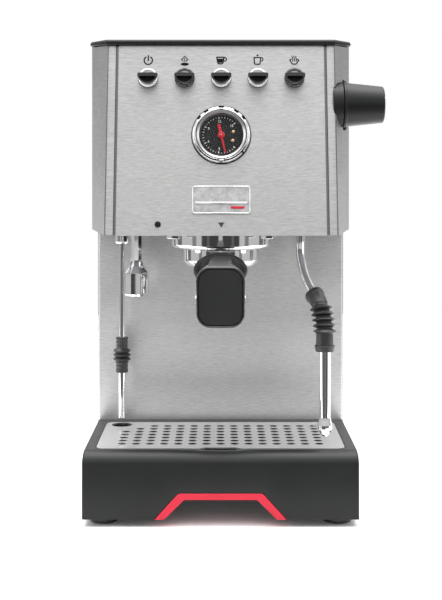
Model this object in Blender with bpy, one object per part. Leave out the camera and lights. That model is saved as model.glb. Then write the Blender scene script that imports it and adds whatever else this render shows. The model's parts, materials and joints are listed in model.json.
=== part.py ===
"""Espresso machine, with a separate closed solid for each piece of the real one.

X runs to the right of a person who faces the machine, Y to its back and Z up. Lengths are in metres.
The body's own origin is on the floor, below the middle of the drip tray's front face.
Each moving piece hangs from an empty on its joint's axis.
"""

import math

import bmesh
import bpy
from mathutils import Matrix, Vector

# Driving dimensions
BODY_WIDTH = 0.213
BODY_DEPTH = 0.240
BODY_HEIGHT = 0.380
SHEET = 0.0012
GAP = 0.0003

# Base
FOOT_HEIGHT = 0.006
FOOT_RADIUS = 0.011
FOOT_INSET = 0.0155
BASE_PLATE_TOP = FOOT_HEIGHT + GAP + 0.002
SKIRT = 0.003
TRAY_DEPTH = 0.1245
TRAY_TOP = 0.0576
LIP_RADIUS = 0.0085
SIDE_ROLL = 0.12
TRAY_FLOOR_TOP = 0.031
RECESS_HALF_BOTTOM = 0.0506
RECESS_HALF_TOP = 0.0324
RECESS_TOP = 0.026
GRILLE_HALF_WIDTH = 0.097
GRILLE_FRONT = 0.0135
GRILLE_BACK = 0.113
GRILLE_THICKNESS = 0.0012
HOLE_PITCH = 0.01115
HOLE_RADIUS = 0.00335
HOLE_COLUMNS = 15
HOLE_ROWS = 7
FIRST_HOLE_ROW = 0.0302

# Column and hood
COLUMN_FRONT = 0.126
HOOD_BOTTOM = 0.2225
HOOD_TOP = 0.3755
HOOD_FRONT_BOTTOM = 0.0274
HOOD_LEAN = math.radians(11.8)
HOOD_SIDE_FRONT = 0.0774
HOOD_SIDE_BOTTOM = 0.2249
PANEL_HALF_WIDTH = 0.0834
BAND_HALF_WIDTH = 0.0919
FRONT_SHIFT = 0.0006
RIM_HALF_WIDTH = 0.1081
RIM_FRONT_HALF_WIDTH = 0.0933
RIM_FRONT = 0.057

# Controls, with heights measured up the leaning front panel
PANEL_LENGTH = (HOOD_TOP - HOOD_BOTTOM) / math.cos(HOOD_LEAN)
PANEL_THICKNESS = 0.0015
GAUGE_UP = 0.0814
GAUGE_RADIUS = 0.0237
GAUGE_HOLE = 0.0215
NEEDLE_REST = math.radians(167)
SWITCH_UP = 0.1289
SWITCH_PITCH = 0.02965
SWITCH_RADIUS = 0.0079
SWITCH_COUNT = 5
KNOB_AXIS = (0.065, 0.3274)
KNOB_RADIUS = 0.0191
KNOB_TIP = 0.134

# Group, wand and pipes
GROUP_AXIS = (0.0, 0.080)
GROUP_RADIUS = 0.0415
GROUP_BOTTOM = 0.2098
GROUP_TOP = 0.240
CUP_RADIUS = 0.0318
HANDLE_START = (0.0, -0.047, 0.1946)
HANDLE_DROOP = math.radians(7.0)
WAND_AXIS = (0.0664, 0.080)
WAND_RADIUS = 0.0036
WAND_LOWER_RADIUS = 0.0043
DRAIN_AXIS = (-0.0838, 0.1025)
RELIEF_AXIS = (-0.0705, 0.090)
PIPE_TOP = 0.236

# Water tank and lid
TANK_HALF_WIDTH = 0.088
TANK_FRONT = 0.178
TANK_BACK = 0.2315
TANK_BOTTOM = 0.066
TANK_TOP = 0.372
LID_HINGE = (0.2332, 0.3790)

# Directions of a turned piece whose own axis is local Z
FACING_FRONT = (math.radians(90), 0, 0)
FACING_RIGHT = (0, math.radians(90), 0)


# Outlines


def rounded_polygon(corners, radii, steps=3):
    """Points round a closed outline, with an arc of the given radius at each corner."""
    points = []
    for index, corner in enumerate(corners):
        here = Vector(corner)
        if radii[index] == 0:
            points.append(here)
            continue
        back = (Vector(corners[index - 1]) - here).normalized()
        ahead = (Vector(corners[(index + 1) % len(corners)]) - here).normalized()
        half = math.acos(max(-1, min(1, back.dot(ahead)))) / 2
        centre = here + (back + ahead).normalized() * radii[index] / math.sin(half)
        start = here + back * radii[index] / math.tan(half) - centre
        end = here + ahead * radii[index] / math.tan(half) - centre
        sweep = math.atan2(start.x * end.y - start.y * end.x, start.dot(end))
        for step in range(steps + 1):
            points.append(centre + Matrix.Rotation(sweep * step / steps, 2) @ start)
    return points


def rounded_rectangle(x0, x1, y0, y1, radius, steps=3):
    corners = [(x0, y0), (x1, y0), (x1, y1), (x0, y1)]
    return rounded_polygon(corners, [radius] * 4, steps)


def circle(radius, steps, centre=(0, 0), start=0.0):
    angles = [start + 2 * math.pi * step / steps for step in range(steps)]
    return [Vector((centre[0] + radius * math.cos(a), centre[1] + radius * math.sin(a))) for a in angles]


def on_plane(outline, axis, level):
    """A 2-D outline placed across an axis: XY across Z, XZ across Y and YZ across X."""
    if axis == "Z":
        return [Vector((u, v, level)) for u, v in outline]
    if axis == "Y":
        return [Vector((u, level, v)) for u, v in outline]
    return [Vector((level, u, v)) for u, v in outline]


# Solids


def loft(rings, is_loop=False):
    """A closed surface through rings with the same number of points."""
    mesh = bmesh.new()
    loops = [[mesh.verts.new(point) for point in ring] for ring in rings]
    pairs = list(zip(loops, loops[1:]))
    if is_loop:
        pairs.append((loops[-1], loops[0]))
    for lower, upper in pairs:
        for index in range(len(lower)):
            after = (index + 1) % len(lower)
            mesh.faces.new((lower[index], lower[after], upper[after], upper[index]))
    if not is_loop:
        mesh.faces.new(loops[0])
        mesh.faces.new(loops[-1])
    bmesh.ops.recalc_face_normals(mesh, faces=mesh.faces)
    return mesh


def prism(outline, axis, start, end):
    return loft([on_plane(outline, axis, start), on_plane(outline, axis, end)])


def box(x0, x1, y0, y1, z0, z1):
    return prism([(x0, y0), (x1, y0), (x1, y1), (x0, y1)], "Z", z0, z1)


def turned(profile, steps, is_ring=False):
    """A profile of (radius, height) points turned about Z. A ring's profile is a closed loop."""
    mesh = bmesh.new()
    verts = [mesh.verts.new((radius, 0, height)) for radius, height in profile]
    edges = [mesh.edges.new(pair) for pair in zip(verts, verts[1:])]
    if is_ring:
        edges.append(mesh.edges.new((verts[-1], verts[0])))
    bmesh.ops.spin(
        mesh, geom=verts + edges, cent=(0, 0, 0), axis=(0, 0, 1), angle=2 * math.pi, steps=steps
    )
    bmesh.ops.remove_doubles(mesh, verts=mesh.verts, dist=1e-6)
    bmesh.ops.recalc_face_normals(mesh, faces=mesh.faces)
    return mesh


def joined(meshes):
    """Several separate solids in one mesh, for use as a cutter."""
    whole = bmesh.new()
    for mesh in meshes:
        data = bpy.data.meshes.new("part_of_cutter")
        mesh.to_mesh(data)
        mesh.free()
        whole.from_mesh(data)
        bpy.data.meshes.remove(data)
    return whole


def smooth_path(points, per_span):
    """A Catmull-Rom curve through the points."""
    knots = [Vector(point) for point in points]
    ends = [2 * knots[0] - knots[1]] + knots + [2 * knots[-1] - knots[-2]]
    path = []
    for a, b, c, d in zip(ends, ends[1:], ends[2:], ends[3:]):
        for step in range(per_span):
            t = step / per_span
            bend = (2 * a - 5 * b + 4 * c - d) * t * t + (3 * b - a - 3 * c + d) * t ** 3
            path.append(b + (c - a) * t / 2 + bend / 2)
    path.append(knots[-1])
    return path


def rings_along(path, radii, steps):
    """Circles across a path, carried along it without twist."""
    side = Vector((1, 0, 0))
    rings = []
    for index, point in enumerate(path):
        before = path[max(index - 1, 0)]
        after = path[min(index + 1, len(path) - 1)]
        along = (after - before).normalized()
        side = (side - along * side.dot(along)).normalized()
        up = along.cross(side)
        ring = [point + side * u + up * v for u, v in circle(radii[index], steps)]
        rings.append(ring)
    return rings


# Scene


def clear_scene():
    for old in list(bpy.data.objects):
        bpy.data.objects.remove(old)


def look(name, colour, roughness, metallic=0.0):
    material = bpy.data.materials.new(name)
    material.use_nodes = True
    shader = material.node_tree.nodes["Principled BSDF"]
    shader.inputs["Base Color"].default_value = (*colour, 1)
    shader.inputs["Roughness"].default_value = roughness
    shader.inputs["Metallic"].default_value = metallic
    return material


def pivot(name, parent, at, turn=(0, 0, 0)):
    empty = bpy.data.objects.new(name, None)
    bpy.context.collection.objects.link(empty)
    empty.parent = parent
    empty.location = at
    empty.rotation_euler = turn
    return empty


def add(name, mesh, material, parent, at=(0, 0, 0), turn=(0, 0, 0)):
    data = bpy.data.meshes.new(name)
    mesh.to_mesh(data)
    mesh.free()
    data.shade_smooth()
    data.set_sharp_from_angle(angle=math.radians(35))
    data.materials.append(material)
    piece = bpy.data.objects.new(name, data)
    bpy.context.collection.objects.link(piece)
    piece.parent = parent
    piece.location = at
    piece.rotation_euler = turn
    return piece


def cutter(name, mesh, parent, at=(0, 0, 0), turn=(0, 0, 0)):
    tool = add(name, mesh, look(name, (1, 0, 0), 1), parent, at, turn)
    tool.hide_render = True
    tool.display_type = "WIRE"
    return tool


def combine(piece, tool, operation="DIFFERENCE"):
    step = piece.modifiers.new(tool.name, "BOOLEAN")
    step.operation = operation
    step.solver = "EXACT"
    step.object = tool


# Base


def make_base_plate(machine, looks):
    """A steel plate whose two arms reach forward past the finger recess to the front feet."""
    half = BODY_WIDTH / 2 - SKIRT - 2 * GAP
    arm_inner = 0.056
    arm_front = 0.008
    bay_back = 0.062
    outline = [
        (-half, BODY_DEPTH - 0.002),
        (-half, arm_front),
        (-arm_inner, arm_front),
        (-arm_inner, bay_back),
        (arm_inner, bay_back),
        (arm_inner, arm_front),
        (half, arm_front),
        (half, BODY_DEPTH - 0.002),
    ]
    add("base_plate", prism(outline, "Z", FOOT_HEIGHT + GAP, BASE_PLATE_TOP), looks["painted"], machine)


def make_feet(machine, looks):
    profile = [
        (0, FOOT_HEIGHT),
        (FOOT_RADIUS - 0.001, FOOT_HEIGHT),
        (FOOT_RADIUS, FOOT_HEIGHT - 0.002),
        (FOOT_RADIUS - 0.0015, 0),
        (0, 0),
    ]
    for side, x in (("left", -1), ("right", 1)):
        for end, y in (("front", 0.020), ("rear", BODY_DEPTH - 0.022)):
            place = (x * (BODY_WIDTH / 2 - FOOT_INSET), y, 0)
            add(f"foot_{end}_{side}", turned(profile, 20), looks["rubber"], machine, place)


def tray_ring(inset, level, radius):
    """An outline round the tray. The lip rolls back at the front and hardly at the sides."""
    half = BODY_WIDTH / 2 - SIDE_ROLL * inset
    return on_plane(rounded_rectangle(-half, half, inset, TRAY_DEPTH, radius), "Z", level)


def tray_well(margin, level, radius):
    """An outline round the grille's seat."""
    half = GRILLE_HALF_WIDTH + margin
    front = GRILLE_FRONT - margin
    return on_plane(rounded_rectangle(-half, half, front, GRILLE_BACK + margin, radius), "Z", level)


def recess_outline(half_bottom, half_top, bottom, top, radius):
    """The finger recess, open below: up one slope, across and down the other."""
    corners = [(-half_bottom, bottom), (-half_top, top), (half_top, top), (half_bottom, bottom)]
    return rounded_polygon(corners, [0, radius, radius, 0])


def make_drip_tray(tray_slide, looks):
    """A basin on a skirt. The skirt is cut for the finger recess and to pass over the base plate."""
    seat = TRAY_TOP - GRILLE_THICKNESS - GAP
    inner_half = BODY_WIDTH / 2 - SKIRT
    hollow = rounded_rectangle(-inner_half, inner_half, SKIRT, TRAY_DEPTH - SKIRT, 0.002)
    rings = [
        on_plane(hollow, "Z", TRAY_FLOOR_TOP - SKIRT),
        on_plane(hollow, "Z", FOOT_HEIGHT),
        tray_ring(0, FOOT_HEIGHT, 0.002),
        tray_ring(0, TRAY_TOP - LIP_RADIUS, 0.002),
    ]
    for angle in (30, 60, 90):
        rise = math.radians(angle)
        inset = LIP_RADIUS * (1 - math.cos(rise))
        rings.append(tray_ring(inset, TRAY_TOP - LIP_RADIUS * (1 - math.sin(rise)), 0.002))
    rings += [
        tray_well(2 * GAP, TRAY_TOP, 0.006),
        tray_well(2 * GAP, seat, 0.006),
        tray_well(-0.004, seat, 0.004),
        tray_well(-0.004, TRAY_FLOOR_TOP, 0.004),
    ]
    tray = add("drip_tray", loft(rings), looks["matte_black"], tray_slide)
    run_out = 0.002
    slope = (RECESS_HALF_BOTTOM - RECESS_HALF_TOP) / (RECESS_TOP - FOOT_HEIGHT)
    half_bottom = RECESS_HALF_BOTTOM + slope * run_out + 2 * GAP
    half_top = RECESS_HALF_TOP + GAP
    recess = recess_outline(half_bottom, half_top, FOOT_HEIGHT - run_out, RECESS_TOP + GAP, 0.005)
    combine(tray, cutter("recess_cutter", prism(recess, "Y", -0.005, SKIRT + 0.01), tray_slide))
    under = box(-inner_half, inner_half, TRAY_DEPTH - 0.008, TRAY_DEPTH + 0.005, 0, BASE_PLATE_TOP + GAP)
    combine(tray, cutter("plate_clearance_cutter", under, tray_slide))


def make_tray_trim(tray_slide, looks):
    """The coloured strip round the finger recess, a little proud of the tray's face."""
    outer = recess_outline(RECESS_HALF_BOTTOM, RECESS_HALF_TOP, FOOT_HEIGHT, RECESS_TOP, 0.005)
    inner = recess_outline(0.0434, 0.0280, FOOT_HEIGHT, 0.0211, 0.003)
    outline = outer + inner[::-1]
    add("tray_trim", prism(outline, "Y", -0.0004, 0.009), looks["trim_red"], tray_slide)


def grille_cutters():
    """Drain holes on a square grid, without the three that would meet the big hole at the back left."""
    holes = []
    for row in range(HOLE_ROWS):
        missing = max(0, row - (HOLE_ROWS - 3))
        for column in range(missing, HOLE_COLUMNS):
            x = (column - (HOLE_COLUMNS - 1) / 2) * HOLE_PITCH
            y = FIRST_HOLE_ROW + row * HOLE_PITCH
            holes.append(prism(circle(HOLE_RADIUS, 6, (x, y)), "Z", TRAY_TOP - 0.004, TRAY_TOP + 0.002))
    drain = circle(0.0085, 16, DRAIN_AXIS)
    holes.append(prism(drain, "Z", TRAY_TOP - 0.004, TRAY_TOP + 0.002))
    return joined(holes)


def make_drip_grille(tray_slide, looks):
    notch = 0.0035
    front = GRILLE_FRONT
    corners = [
        (-0.017, front),
        (-0.012, front + notch),
        (0.012, front + notch),
        (0.017, front),
        (GRILLE_HALF_WIDTH, front),
        (GRILLE_HALF_WIDTH, GRILLE_BACK),
        (-GRILLE_HALF_WIDTH, GRILLE_BACK),
        (-GRILLE_HALF_WIDTH, front),
    ]
    outline = rounded_polygon(corners, [0, 0, 0, 0, 0.006, 0.006, 0.006, 0.006])
    sheet = prism(outline, "Z", TRAY_TOP - GRILLE_THICKNESS, TRAY_TOP)
    grille = add("drip_grille", sheet, looks["bright_steel"], tray_slide)
    combine(grille, cutter("drain_hole_cutter", grille_cutters(), tray_slide))


# Case


def make_column_panel(machine, looks):
    half = BODY_WIDTH / 2 - SHEET - GAP
    front = COLUMN_FRONT
    panel = box(-half, half, front, front + SHEET, BASE_PLATE_TOP + GAP, HOOD_SIDE_BOTTOM)
    add("column_panel", panel, looks["steel"], machine)


def knob_pocket(name, machine):
    """The round opening for the knob in the hood's right edge."""
    start = BAND_HALF_WIDTH + 0.0008
    opening = prism(circle(0.0209, 28, KNOB_AXIS), "X", start, 0.120)
    return cutter(name, opening, machine)


def make_side_panels(machine, looks):
    """L-shaped sheets: the column's full height, and forward to the hood's side edge."""
    outer = BODY_WIDTH / 2
    outline = [
        (COLUMN_FRONT, BASE_PLATE_TOP + GAP),
        (BODY_DEPTH - 0.0018, BASE_PLATE_TOP + GAP),
        (BODY_DEPTH - 0.0018, HOOD_TOP),
        (HOOD_SIDE_FRONT + GAP, HOOD_TOP),
        (HOOD_SIDE_FRONT + GAP, HOOD_SIDE_BOTTOM),
        (COLUMN_FRONT, HOOD_SIDE_BOTTOM),
    ]
    add("side_panel_left", prism(outline, "X", -outer, -outer + SHEET), looks["steel"], machine)
    right = add("side_panel_right", prism(outline, "X", outer - SHEET, outer), looks["steel"], machine)
    combine(right, knob_pocket("side_pocket_cutter", machine))


def corner_strip(side):
    """A folded strip round the hood's corner, with a flange that reaches in behind the front panel."""
    rings = []
    lean = math.tan(HOOD_LEAN)
    for level in (HOOD_BOTTOM, HOOD_TOP):
        front = HOOD_FRONT_BOTTOM + lean * (level - HOOD_BOTTOM)
        rise = HOOD_SIDE_BOTTOM - HOOD_BOTTOM if level == HOOD_BOTTOM else 0
        flange = [
            (PANEL_HALF_WIDTH - 0.0025, front + 0.0032),
            (PANEL_HALF_WIDTH - 0.0025, front + 0.0020),
            (PANEL_HALF_WIDTH + 0.0021, front + 0.0020),
            (PANEL_HALF_WIDTH + 0.0021, front - 0.0002),
            (PANEL_HALF_WIDTH + 0.0030, front - 0.0010),
            (BAND_HALF_WIDTH - 0.0014, front - 0.0010),
            (BAND_HALF_WIDTH, front + 0.0004),
        ]
        ring = [Vector((side * x + FRONT_SHIFT, y, level)) for x, y in flange]
        for x in (BODY_WIDTH / 2, BODY_WIDTH / 2 - SHEET):
            ring.append(Vector((side * x, HOOD_SIDE_FRONT, level + rise)))
        ring.append(Vector((side * (BAND_HALF_WIDTH - 0.0012) + FRONT_SHIFT, front + 0.0032, level)))
        rings.append(ring)
    return loft(rings)


def make_corner_strips(machine, looks):
    add("corner_strip_left", corner_strip(-1), looks["steel"], machine)
    right = add("corner_strip_right", corner_strip(1), looks["steel"], machine)
    combine(right, knob_pocket("strip_pocket_cutter", machine))


def make_rear_panel(machine, looks):
    half = BODY_WIDTH / 2 - SHEET - GAP
    back = BODY_DEPTH - GAP
    panel = box(-half, half, back - SHEET, back, BASE_PLATE_TOP + GAP, HOOD_TOP)
    rear = add("rear_panel", panel, looks["steel"], machine)
    slots = []
    for row in range(5):
        level = 0.300 + row * 0.010
        slots.append(box(-0.040, 0.040, back - 0.005, back + 0.005, level, level + 0.003))
    slots.append(box(0.0495, 0.0785, back - 0.005, back + 0.005, 0.0385, 0.0625))
    combine(rear, cutter("rear_slot_cutter", joined(slots), machine))


def make_front_panel(front_plane, looks):
    """The leaning control panel, in the front plane's own axes: Y into the hood, Z up the panel."""
    half = PANEL_HALF_WIDTH
    blank = box(-half, half, 0, PANEL_THICKNESS, 0, PANEL_LENGTH)
    panel = add("front_panel", blank, looks["steel"], front_plane)
    holes = [prism(circle(GAUGE_HOLE, 32, (0, GAUGE_UP)), "Y", -0.005, 0.008)]
    for index in range(SWITCH_COUNT):
        x = (index - (SWITCH_COUNT - 1) / 2) * SWITCH_PITCH
        holes.append(prism(circle(0.0062, 14, (x, SWITCH_UP)), "Y", -0.005, 0.008))
    combine(panel, cutter("panel_hole_cutter", joined(holes), front_plane))


def make_hood_floor(machine, looks):
    """The plate under the hood, with holes for the group and the pipes."""
    side = BODY_WIDTH / 2 - SHEET - 2 * GAP
    outline = [
        (-side, COLUMN_FRONT + SHEET + GAP),
        (-side, HOOD_SIDE_FRONT + 0.002),
        (-0.0895, HOOD_FRONT_BOTTOM + 0.0050),
        (0.0895, HOOD_FRONT_BOTTOM + 0.0050),
        (side, HOOD_SIDE_FRONT + 0.002),
        (side, COLUMN_FRONT + SHEET + GAP),
    ]
    bottom = HOOD_SIDE_BOTTOM + GAP
    floor = add("hood_floor", prism(outline, "Z", bottom, bottom + SHEET), looks["dark_steel"], machine)
    holes = []
    for centre, radius, steps in (
        (GROUP_AXIS, GROUP_RADIUS + 0.001, 32),
        (WAND_AXIS, 0.006, 14),
        (DRAIN_AXIS, 0.004, 12),
        (RELIEF_AXIS, 0.006, 12),
    ):
        holes.append(prism(circle(radius, steps, centre), "Z", bottom - 0.004, bottom + 0.005))
    combine(floor, cutter("floor_hole_cutter", joined(holes), machine))


def make_top_frame(machine, looks):
    """The black rim round the top, open over the cup plate and the tank."""
    outline = rounded_polygon(
        [
            (-RIM_FRONT_HALF_WIDTH, RIM_FRONT),
            (RIM_FRONT_HALF_WIDTH, RIM_FRONT),
            (RIM_HALF_WIDTH, HOOD_SIDE_FRONT),
            (RIM_HALF_WIDTH, BODY_DEPTH),
            (-RIM_HALF_WIDTH, BODY_DEPTH),
            (-RIM_HALF_WIDTH, HOOD_SIDE_FRONT),
        ],
        [0.002, 0.002, 0.004, 0.005, 0.005, 0.004],
        2,
    )
    frame = add("top_frame", prism(outline, "Z", HOOD_TOP + GAP, BODY_HEIGHT), looks["matte_black"], machine)
    opening = box(-0.096, 0.096, 0.067, 0.2345, HOOD_TOP - 0.005, BODY_HEIGHT + 0.005)
    combine(frame, cutter("top_opening_cutter", opening, machine))


def make_cup_warmer_plate(machine, looks):
    outline = rounded_rectangle(-0.0955, 0.0955, 0.0675, 0.1735, 0.0025, 2)
    plate = add("cup_warmer_plate", prism(outline, "Z", 0.3764, 0.3778), looks["bright_steel"], machine)
    slots = []
    for side in (-1, 1):
        for row in range(5):
            y = 0.084 + row * 0.018
            slots.append(box(side * 0.047 - 0.030, side * 0.047 + 0.030, y, y + 0.003, 0.370, 0.385))
    combine(plate, cutter("plate_slot_cutter", joined(slots), machine))


# Front panel fittings


def make_badge_plate(front_plane, looks):
    outline = rounded_rectangle(-0.0235, 0.0235, 0.0160, 0.0402, 0.003)
    add("badge_plate", prism(outline, "Y", -0.0011, -GAP), looks["chrome"], front_plane)


def make_indicator_lens(front_plane, looks):
    profile = [(0, GAP), (0.0025, GAP), (0.0025, 0.0008), (0.0018, 0.0012), (0, 0.0013)]
    lens = turned(profile, 14)
    add("indicator_lens", lens, looks["dark_lens"], front_plane, (-0.0502, 0, 0.0087), FACING_FRONT)


def make_gauge(front_plane, looks):
    """Gauge pieces are turned about the panel's outward normal."""
    centre = (0, 0, GAUGE_UP)
    bezel = [
        (GAUGE_RADIUS, GAP),
        (GAUGE_RADIUS, 0.0022),
        (0.0220, 0.0042),
        (0.0195, 0.0042),
        (0.0169, 0.0022),
        (0.0169, -0.0008),
        (0.0209, -0.0008),
        (0.0209, GAP),
    ]
    case = [
        (0, -0.022),
        (0.0205, -0.022),
        (0.0205, -0.0012),
        (0.0188, -0.0012),
        (0.0188, -0.0205),
        (0, -0.0205),
    ]
    dial = [(0, -0.0021), (0.0184, -0.0021), (0.0184, -0.0013), (0, -0.0013)]
    glass = [(0, 0.0010), (0.0165, 0.0010), (0.0165, 0.0018), (0, 0.0021)]
    add("gauge_bezel", turned(bezel, 28, True), looks["chrome"], front_plane, centre, FACING_FRONT)
    add("gauge_case", turned(case, 20), looks["dark_steel"], front_plane, centre, FACING_FRONT)
    add("gauge_dial", turned(dial, 20), looks["dial"], front_plane, centre, FACING_FRONT)
    add("gauge_glass", turned(glass, 20), looks["glass"], front_plane, centre, FACING_FRONT)


def make_gauge_needle(needle_axis, looks):
    """A tapered pointer with a round hub and a short tail."""
    hub = 0.0028
    spread = math.radians(72)
    right = [Vector((0.00045, 0.0152))]
    for step in range(7):
        angle = spread - 2 * spread * step / 6
        right.append(Vector((hub * math.cos(angle), hub * math.sin(angle))))
    right.append(Vector((0.0012, -0.0093)))
    left = [Vector((-point.x, point.y)) for point in reversed(right)]
    needle = prism(right + left, "Z", -0.0006, 0.0002)
    add("gauge_needle", needle, looks["needle_red"], needle_axis, turn=(0, 0, -NEEDLE_REST))


def switch_mesh():
    """A flared lever: a round stem that opens to a straight top edge over a rounded V."""
    sections = [
        (-0.0060, 0.0030, 0.0030, 0.0030, 0.0),
        (0.0028, 0.0042, 0.0032, 0.0040, 0.0),
        (0.0060, 0.0068, 0.0026, 0.0058, 0.0),
        (0.0092, 0.0084, 0.0024, 0.0066, 0.0),
        (0.0098, 0.0078, 0.0018, 0.0058, 0.0),
    ]
    rings = []
    for out, half_width, top, bottom, centre in sections:
        ring = []
        for step in range(14):
            angle = 2 * math.pi * step / 14
            lift = math.sin(angle)
            flat = math.copysign(abs(math.cos(angle)) ** 0.6, math.cos(angle))
            height = top * abs(lift) ** 0.5 if lift > 0 else bottom * lift
            ring.append(Vector((half_width * flat, centre + height, out)))
        rings.append(ring)
    return loft(rings)


def make_switches(front_plane, looks):
    rim = [
        (0.0058, GAP),
        (SWITCH_RADIUS, GAP),
        (SWITCH_RADIUS, 0.0018),
        (SWITCH_RADIUS - 0.0007, 0.0025),
        (0.0058, 0.0025),
    ]
    for index in range(SWITCH_COUNT):
        number = index + 1
        x = (index - (SWITCH_COUNT - 1) / 2) * SWITCH_PITCH
        place = (x, 0, SWITCH_UP)
        rim_look = looks["smoke"] if number in (2, 5) else looks["chrome"]
        ring = turned(rim, 16, True)
        add(f"switch_bezel_{number}", ring, rim_look, front_plane, place, FACING_FRONT)
        axis = pivot(f"switch_axis_{number}", front_plane, place, FACING_FRONT)
        add(f"switch_lever_{number}", switch_mesh(), looks["gloss_black"], axis)


# Steam side


def make_steam_knob(machine, knob_axis, looks):
    boss = [(0.0036, 0.0936), (0.0181, 0.0936), (0.0181, 0.0994), (0.0175, 0.1000), (0.0036, 0.1000)]
    knob = [
        (0, 0.1004),
        (0.0176, 0.1004),
        (KNOB_RADIUS, 0.1016),
        (KNOB_RADIUS, 0.1060),
        (0.0150, 0.1322),
        (0.0135, 0.1334),
        (0, KNOB_TIP),
    ]
    spindle = [(0, 0.0866), (0.0030, 0.0866), (0.0030, 0.1000), (0, 0.1000)]
    add("knob_boss", turned(boss, 22, True), looks["matte_black"], machine, (0, *KNOB_AXIS), FACING_RIGHT)
    add("steam_knob", turned(knob, 24), looks["matte_black"], knob_axis, turn=FACING_RIGHT)
    add("valve_spindle", turned(spindle, 12), looks["brass"], knob_axis, turn=FACING_RIGHT)


def make_steam_valve(machine, looks):
    y, z = KNOB_AXIS
    outline = rounded_rectangle(y - 0.009, y + 0.011, z - 0.010, z + 0.010, 0.003, 2)
    add("steam_valve", prism(outline, "X", 0.058, 0.0863), looks["brass"], machine)


def wand_route():
    """Down from the hood, out and forward through the sleeve, then straight down."""
    x, y = WAND_AXIS
    return smooth_path(
        [
            (x, y, PIPE_TOP),
            (x, y, 0.2080),
            (0.0665, 0.0775, 0.1990),
            (0.0682, 0.0680, 0.1890),
            (0.0724, 0.0575, 0.1790),
            (0.0754, 0.0517, 0.1742),
            (0.0793, 0.0420, 0.1664),
            (0.0813, 0.0345, 0.1592),
            (0.0822, 0.0285, 0.1500),
            (0.0822, 0.0268, 0.1440),
            (0.0822, 0.0268, 0.1312),
            (0.0822, 0.0268, 0.0790),
        ],
        4,
    )


WAND_STEPS = 10
SLEEVE_FIRST = 20
SLEEVE_LAST = 40


def make_steam_wand(wand_axis, looks):
    """The tube widens inside the sleeve, and the sleeve's bore follows it."""
    shift = Vector((-WAND_AXIS[0], -WAND_AXIS[1], 0))
    path = [point + shift for point in wand_route()]
    radii = [WAND_RADIUS if index < SLEEVE_FIRST + 3 else WAND_LOWER_RADIUS for index in range(len(path))]
    add("steam_wand", loft(rings_along(path, radii, WAND_STEPS)), looks["chrome"], wand_axis)

    collar, ridge, valley, cuff, lip = 0.0074, 0.0093, 0.0068, 0.0068, 0.0077
    shape = [collar] * 5 + [ridge, valley] * 5 + [cuff] * 2 + [cuff, cuff, lip, lip]
    sleeve_radii = list(radii)
    sleeve_radii[SLEEVE_FIRST : SLEEVE_LAST + 1] = shape
    bore_radii = [radius + 1.5 * GAP for radius in radii]
    bore_radii[SLEEVE_FIRST + 2] = WAND_LOWER_RADIUS + 1.5 * GAP
    outer = rings_along(path, sleeve_radii, WAND_STEPS)[SLEEVE_FIRST : SLEEVE_LAST + 1]
    bore = rings_along(path, bore_radii, WAND_STEPS)[SLEEVE_FIRST : SLEEVE_LAST + 1]
    add("wand_sleeve", loft(outer + bore[::-1], True), looks["rubber"], wand_axis)

    tip = [(0, 0.0786), (0.0044, 0.0786), (0.0057, 0.0730), (0.0057, 0.0690), (0.0035, 0.0650), (0, 0.0643)]
    foot = path[-1]
    add("wand_nozzle", turned(tip, 12), looks["chrome"], wand_axis, (foot.x, foot.y, 0))


# Left pipes


def make_drain_tube(machine, looks):
    profile = [
        (0, PIPE_TOP),
        (0.0030, PIPE_TOP),
        (0.0030, 0.2220),
        (0.0049, 0.2215),
        (0.0049, 0.2125),
        (0.0024, 0.2120),
        (0.0024, 0.0635),
        (0, 0.0635),
    ]
    sleeve = [
        (0.0028, 0.1321),
        (0.0052, 0.1321),
        (0.0048, 0.1240),
        (0.0075, 0.1215),
        (0.0052, 0.1190),
        (0.0075, 0.1165),
        (0.0052, 0.1140),
        (0.0070, 0.1118),
        (0.0052, 0.1095),
        (0.0052, 0.1023),
        (0.0028, 0.1023),
    ]
    place = (*DRAIN_AXIS, 0)
    add("drain_tube", turned(profile, 12), looks["chrome"], machine, place)
    add("drain_sleeve", turned(sleeve, 12, True), looks["rubber"], machine, place)


def make_relief_nozzle(machine, looks):
    """A pipe that flares into a hexagonal body."""
    steps = 12
    hexagon = rounded_polygon(circle(0.0109, 6, start=math.radians(12)), [0.0012] * 6, 1)
    rings = [on_plane(hexagon, "Z", level) for level in (0.1691, 0.1886)]
    for radius, level in ((0.0056, 0.1945), (0.0047, 0.1990), (0.0046, PIPE_TOP)):
        rings.append(on_plane(circle(radius, steps, start=math.radians(6)), "Z", level))
    add("relief_nozzle", loft(rings), looks["chrome"], machine, (*RELIEF_AXIS, 0))


# Group


def make_group(machine, looks):
    centre = (*GROUP_AXIS, 0)
    head = [
        (0.0330, GROUP_BOTTOM),
        (GROUP_RADIUS - 0.004, GROUP_BOTTOM),
        (GROUP_RADIUS - 0.001, GROUP_BOTTOM + 0.0012),
        (GROUP_RADIUS, GROUP_BOTTOM + 0.004),
        (GROUP_RADIUS, GROUP_TOP),
        (0.0040, GROUP_TOP),
        (0.0040, 0.2220),
        (0.0330, 0.2220),
    ]
    gasket = [(0.0258, 0.2146), (0.0325, 0.2146), (0.0325, 0.2216), (0.0258, 0.2216)]
    screen = [(0, 0.2150), (0.0250, 0.2158), (0.0250, 0.2170), (0, 0.2170)]
    boiler = [
        (0, GROUP_TOP + GAP),
        (0.0390, GROUP_TOP + GAP),
        (0.0390, 0.2450),
        (0.0330, 0.2450),
        (0.0330, 0.2690),
        (0.0280, 0.2735),
        (0, 0.2750),
    ]
    add("group_head", turned(head, 30, True), looks["chrome"], machine, centre)
    add("group_gasket", turned(gasket, 20, True), looks["rubber"], machine, centre)
    add("shower_screen", turned(screen, 20), looks["bright_steel"], machine, centre)
    add("boiler", turned(boiler, 20), looks["aluminium"], machine, centre)


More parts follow.
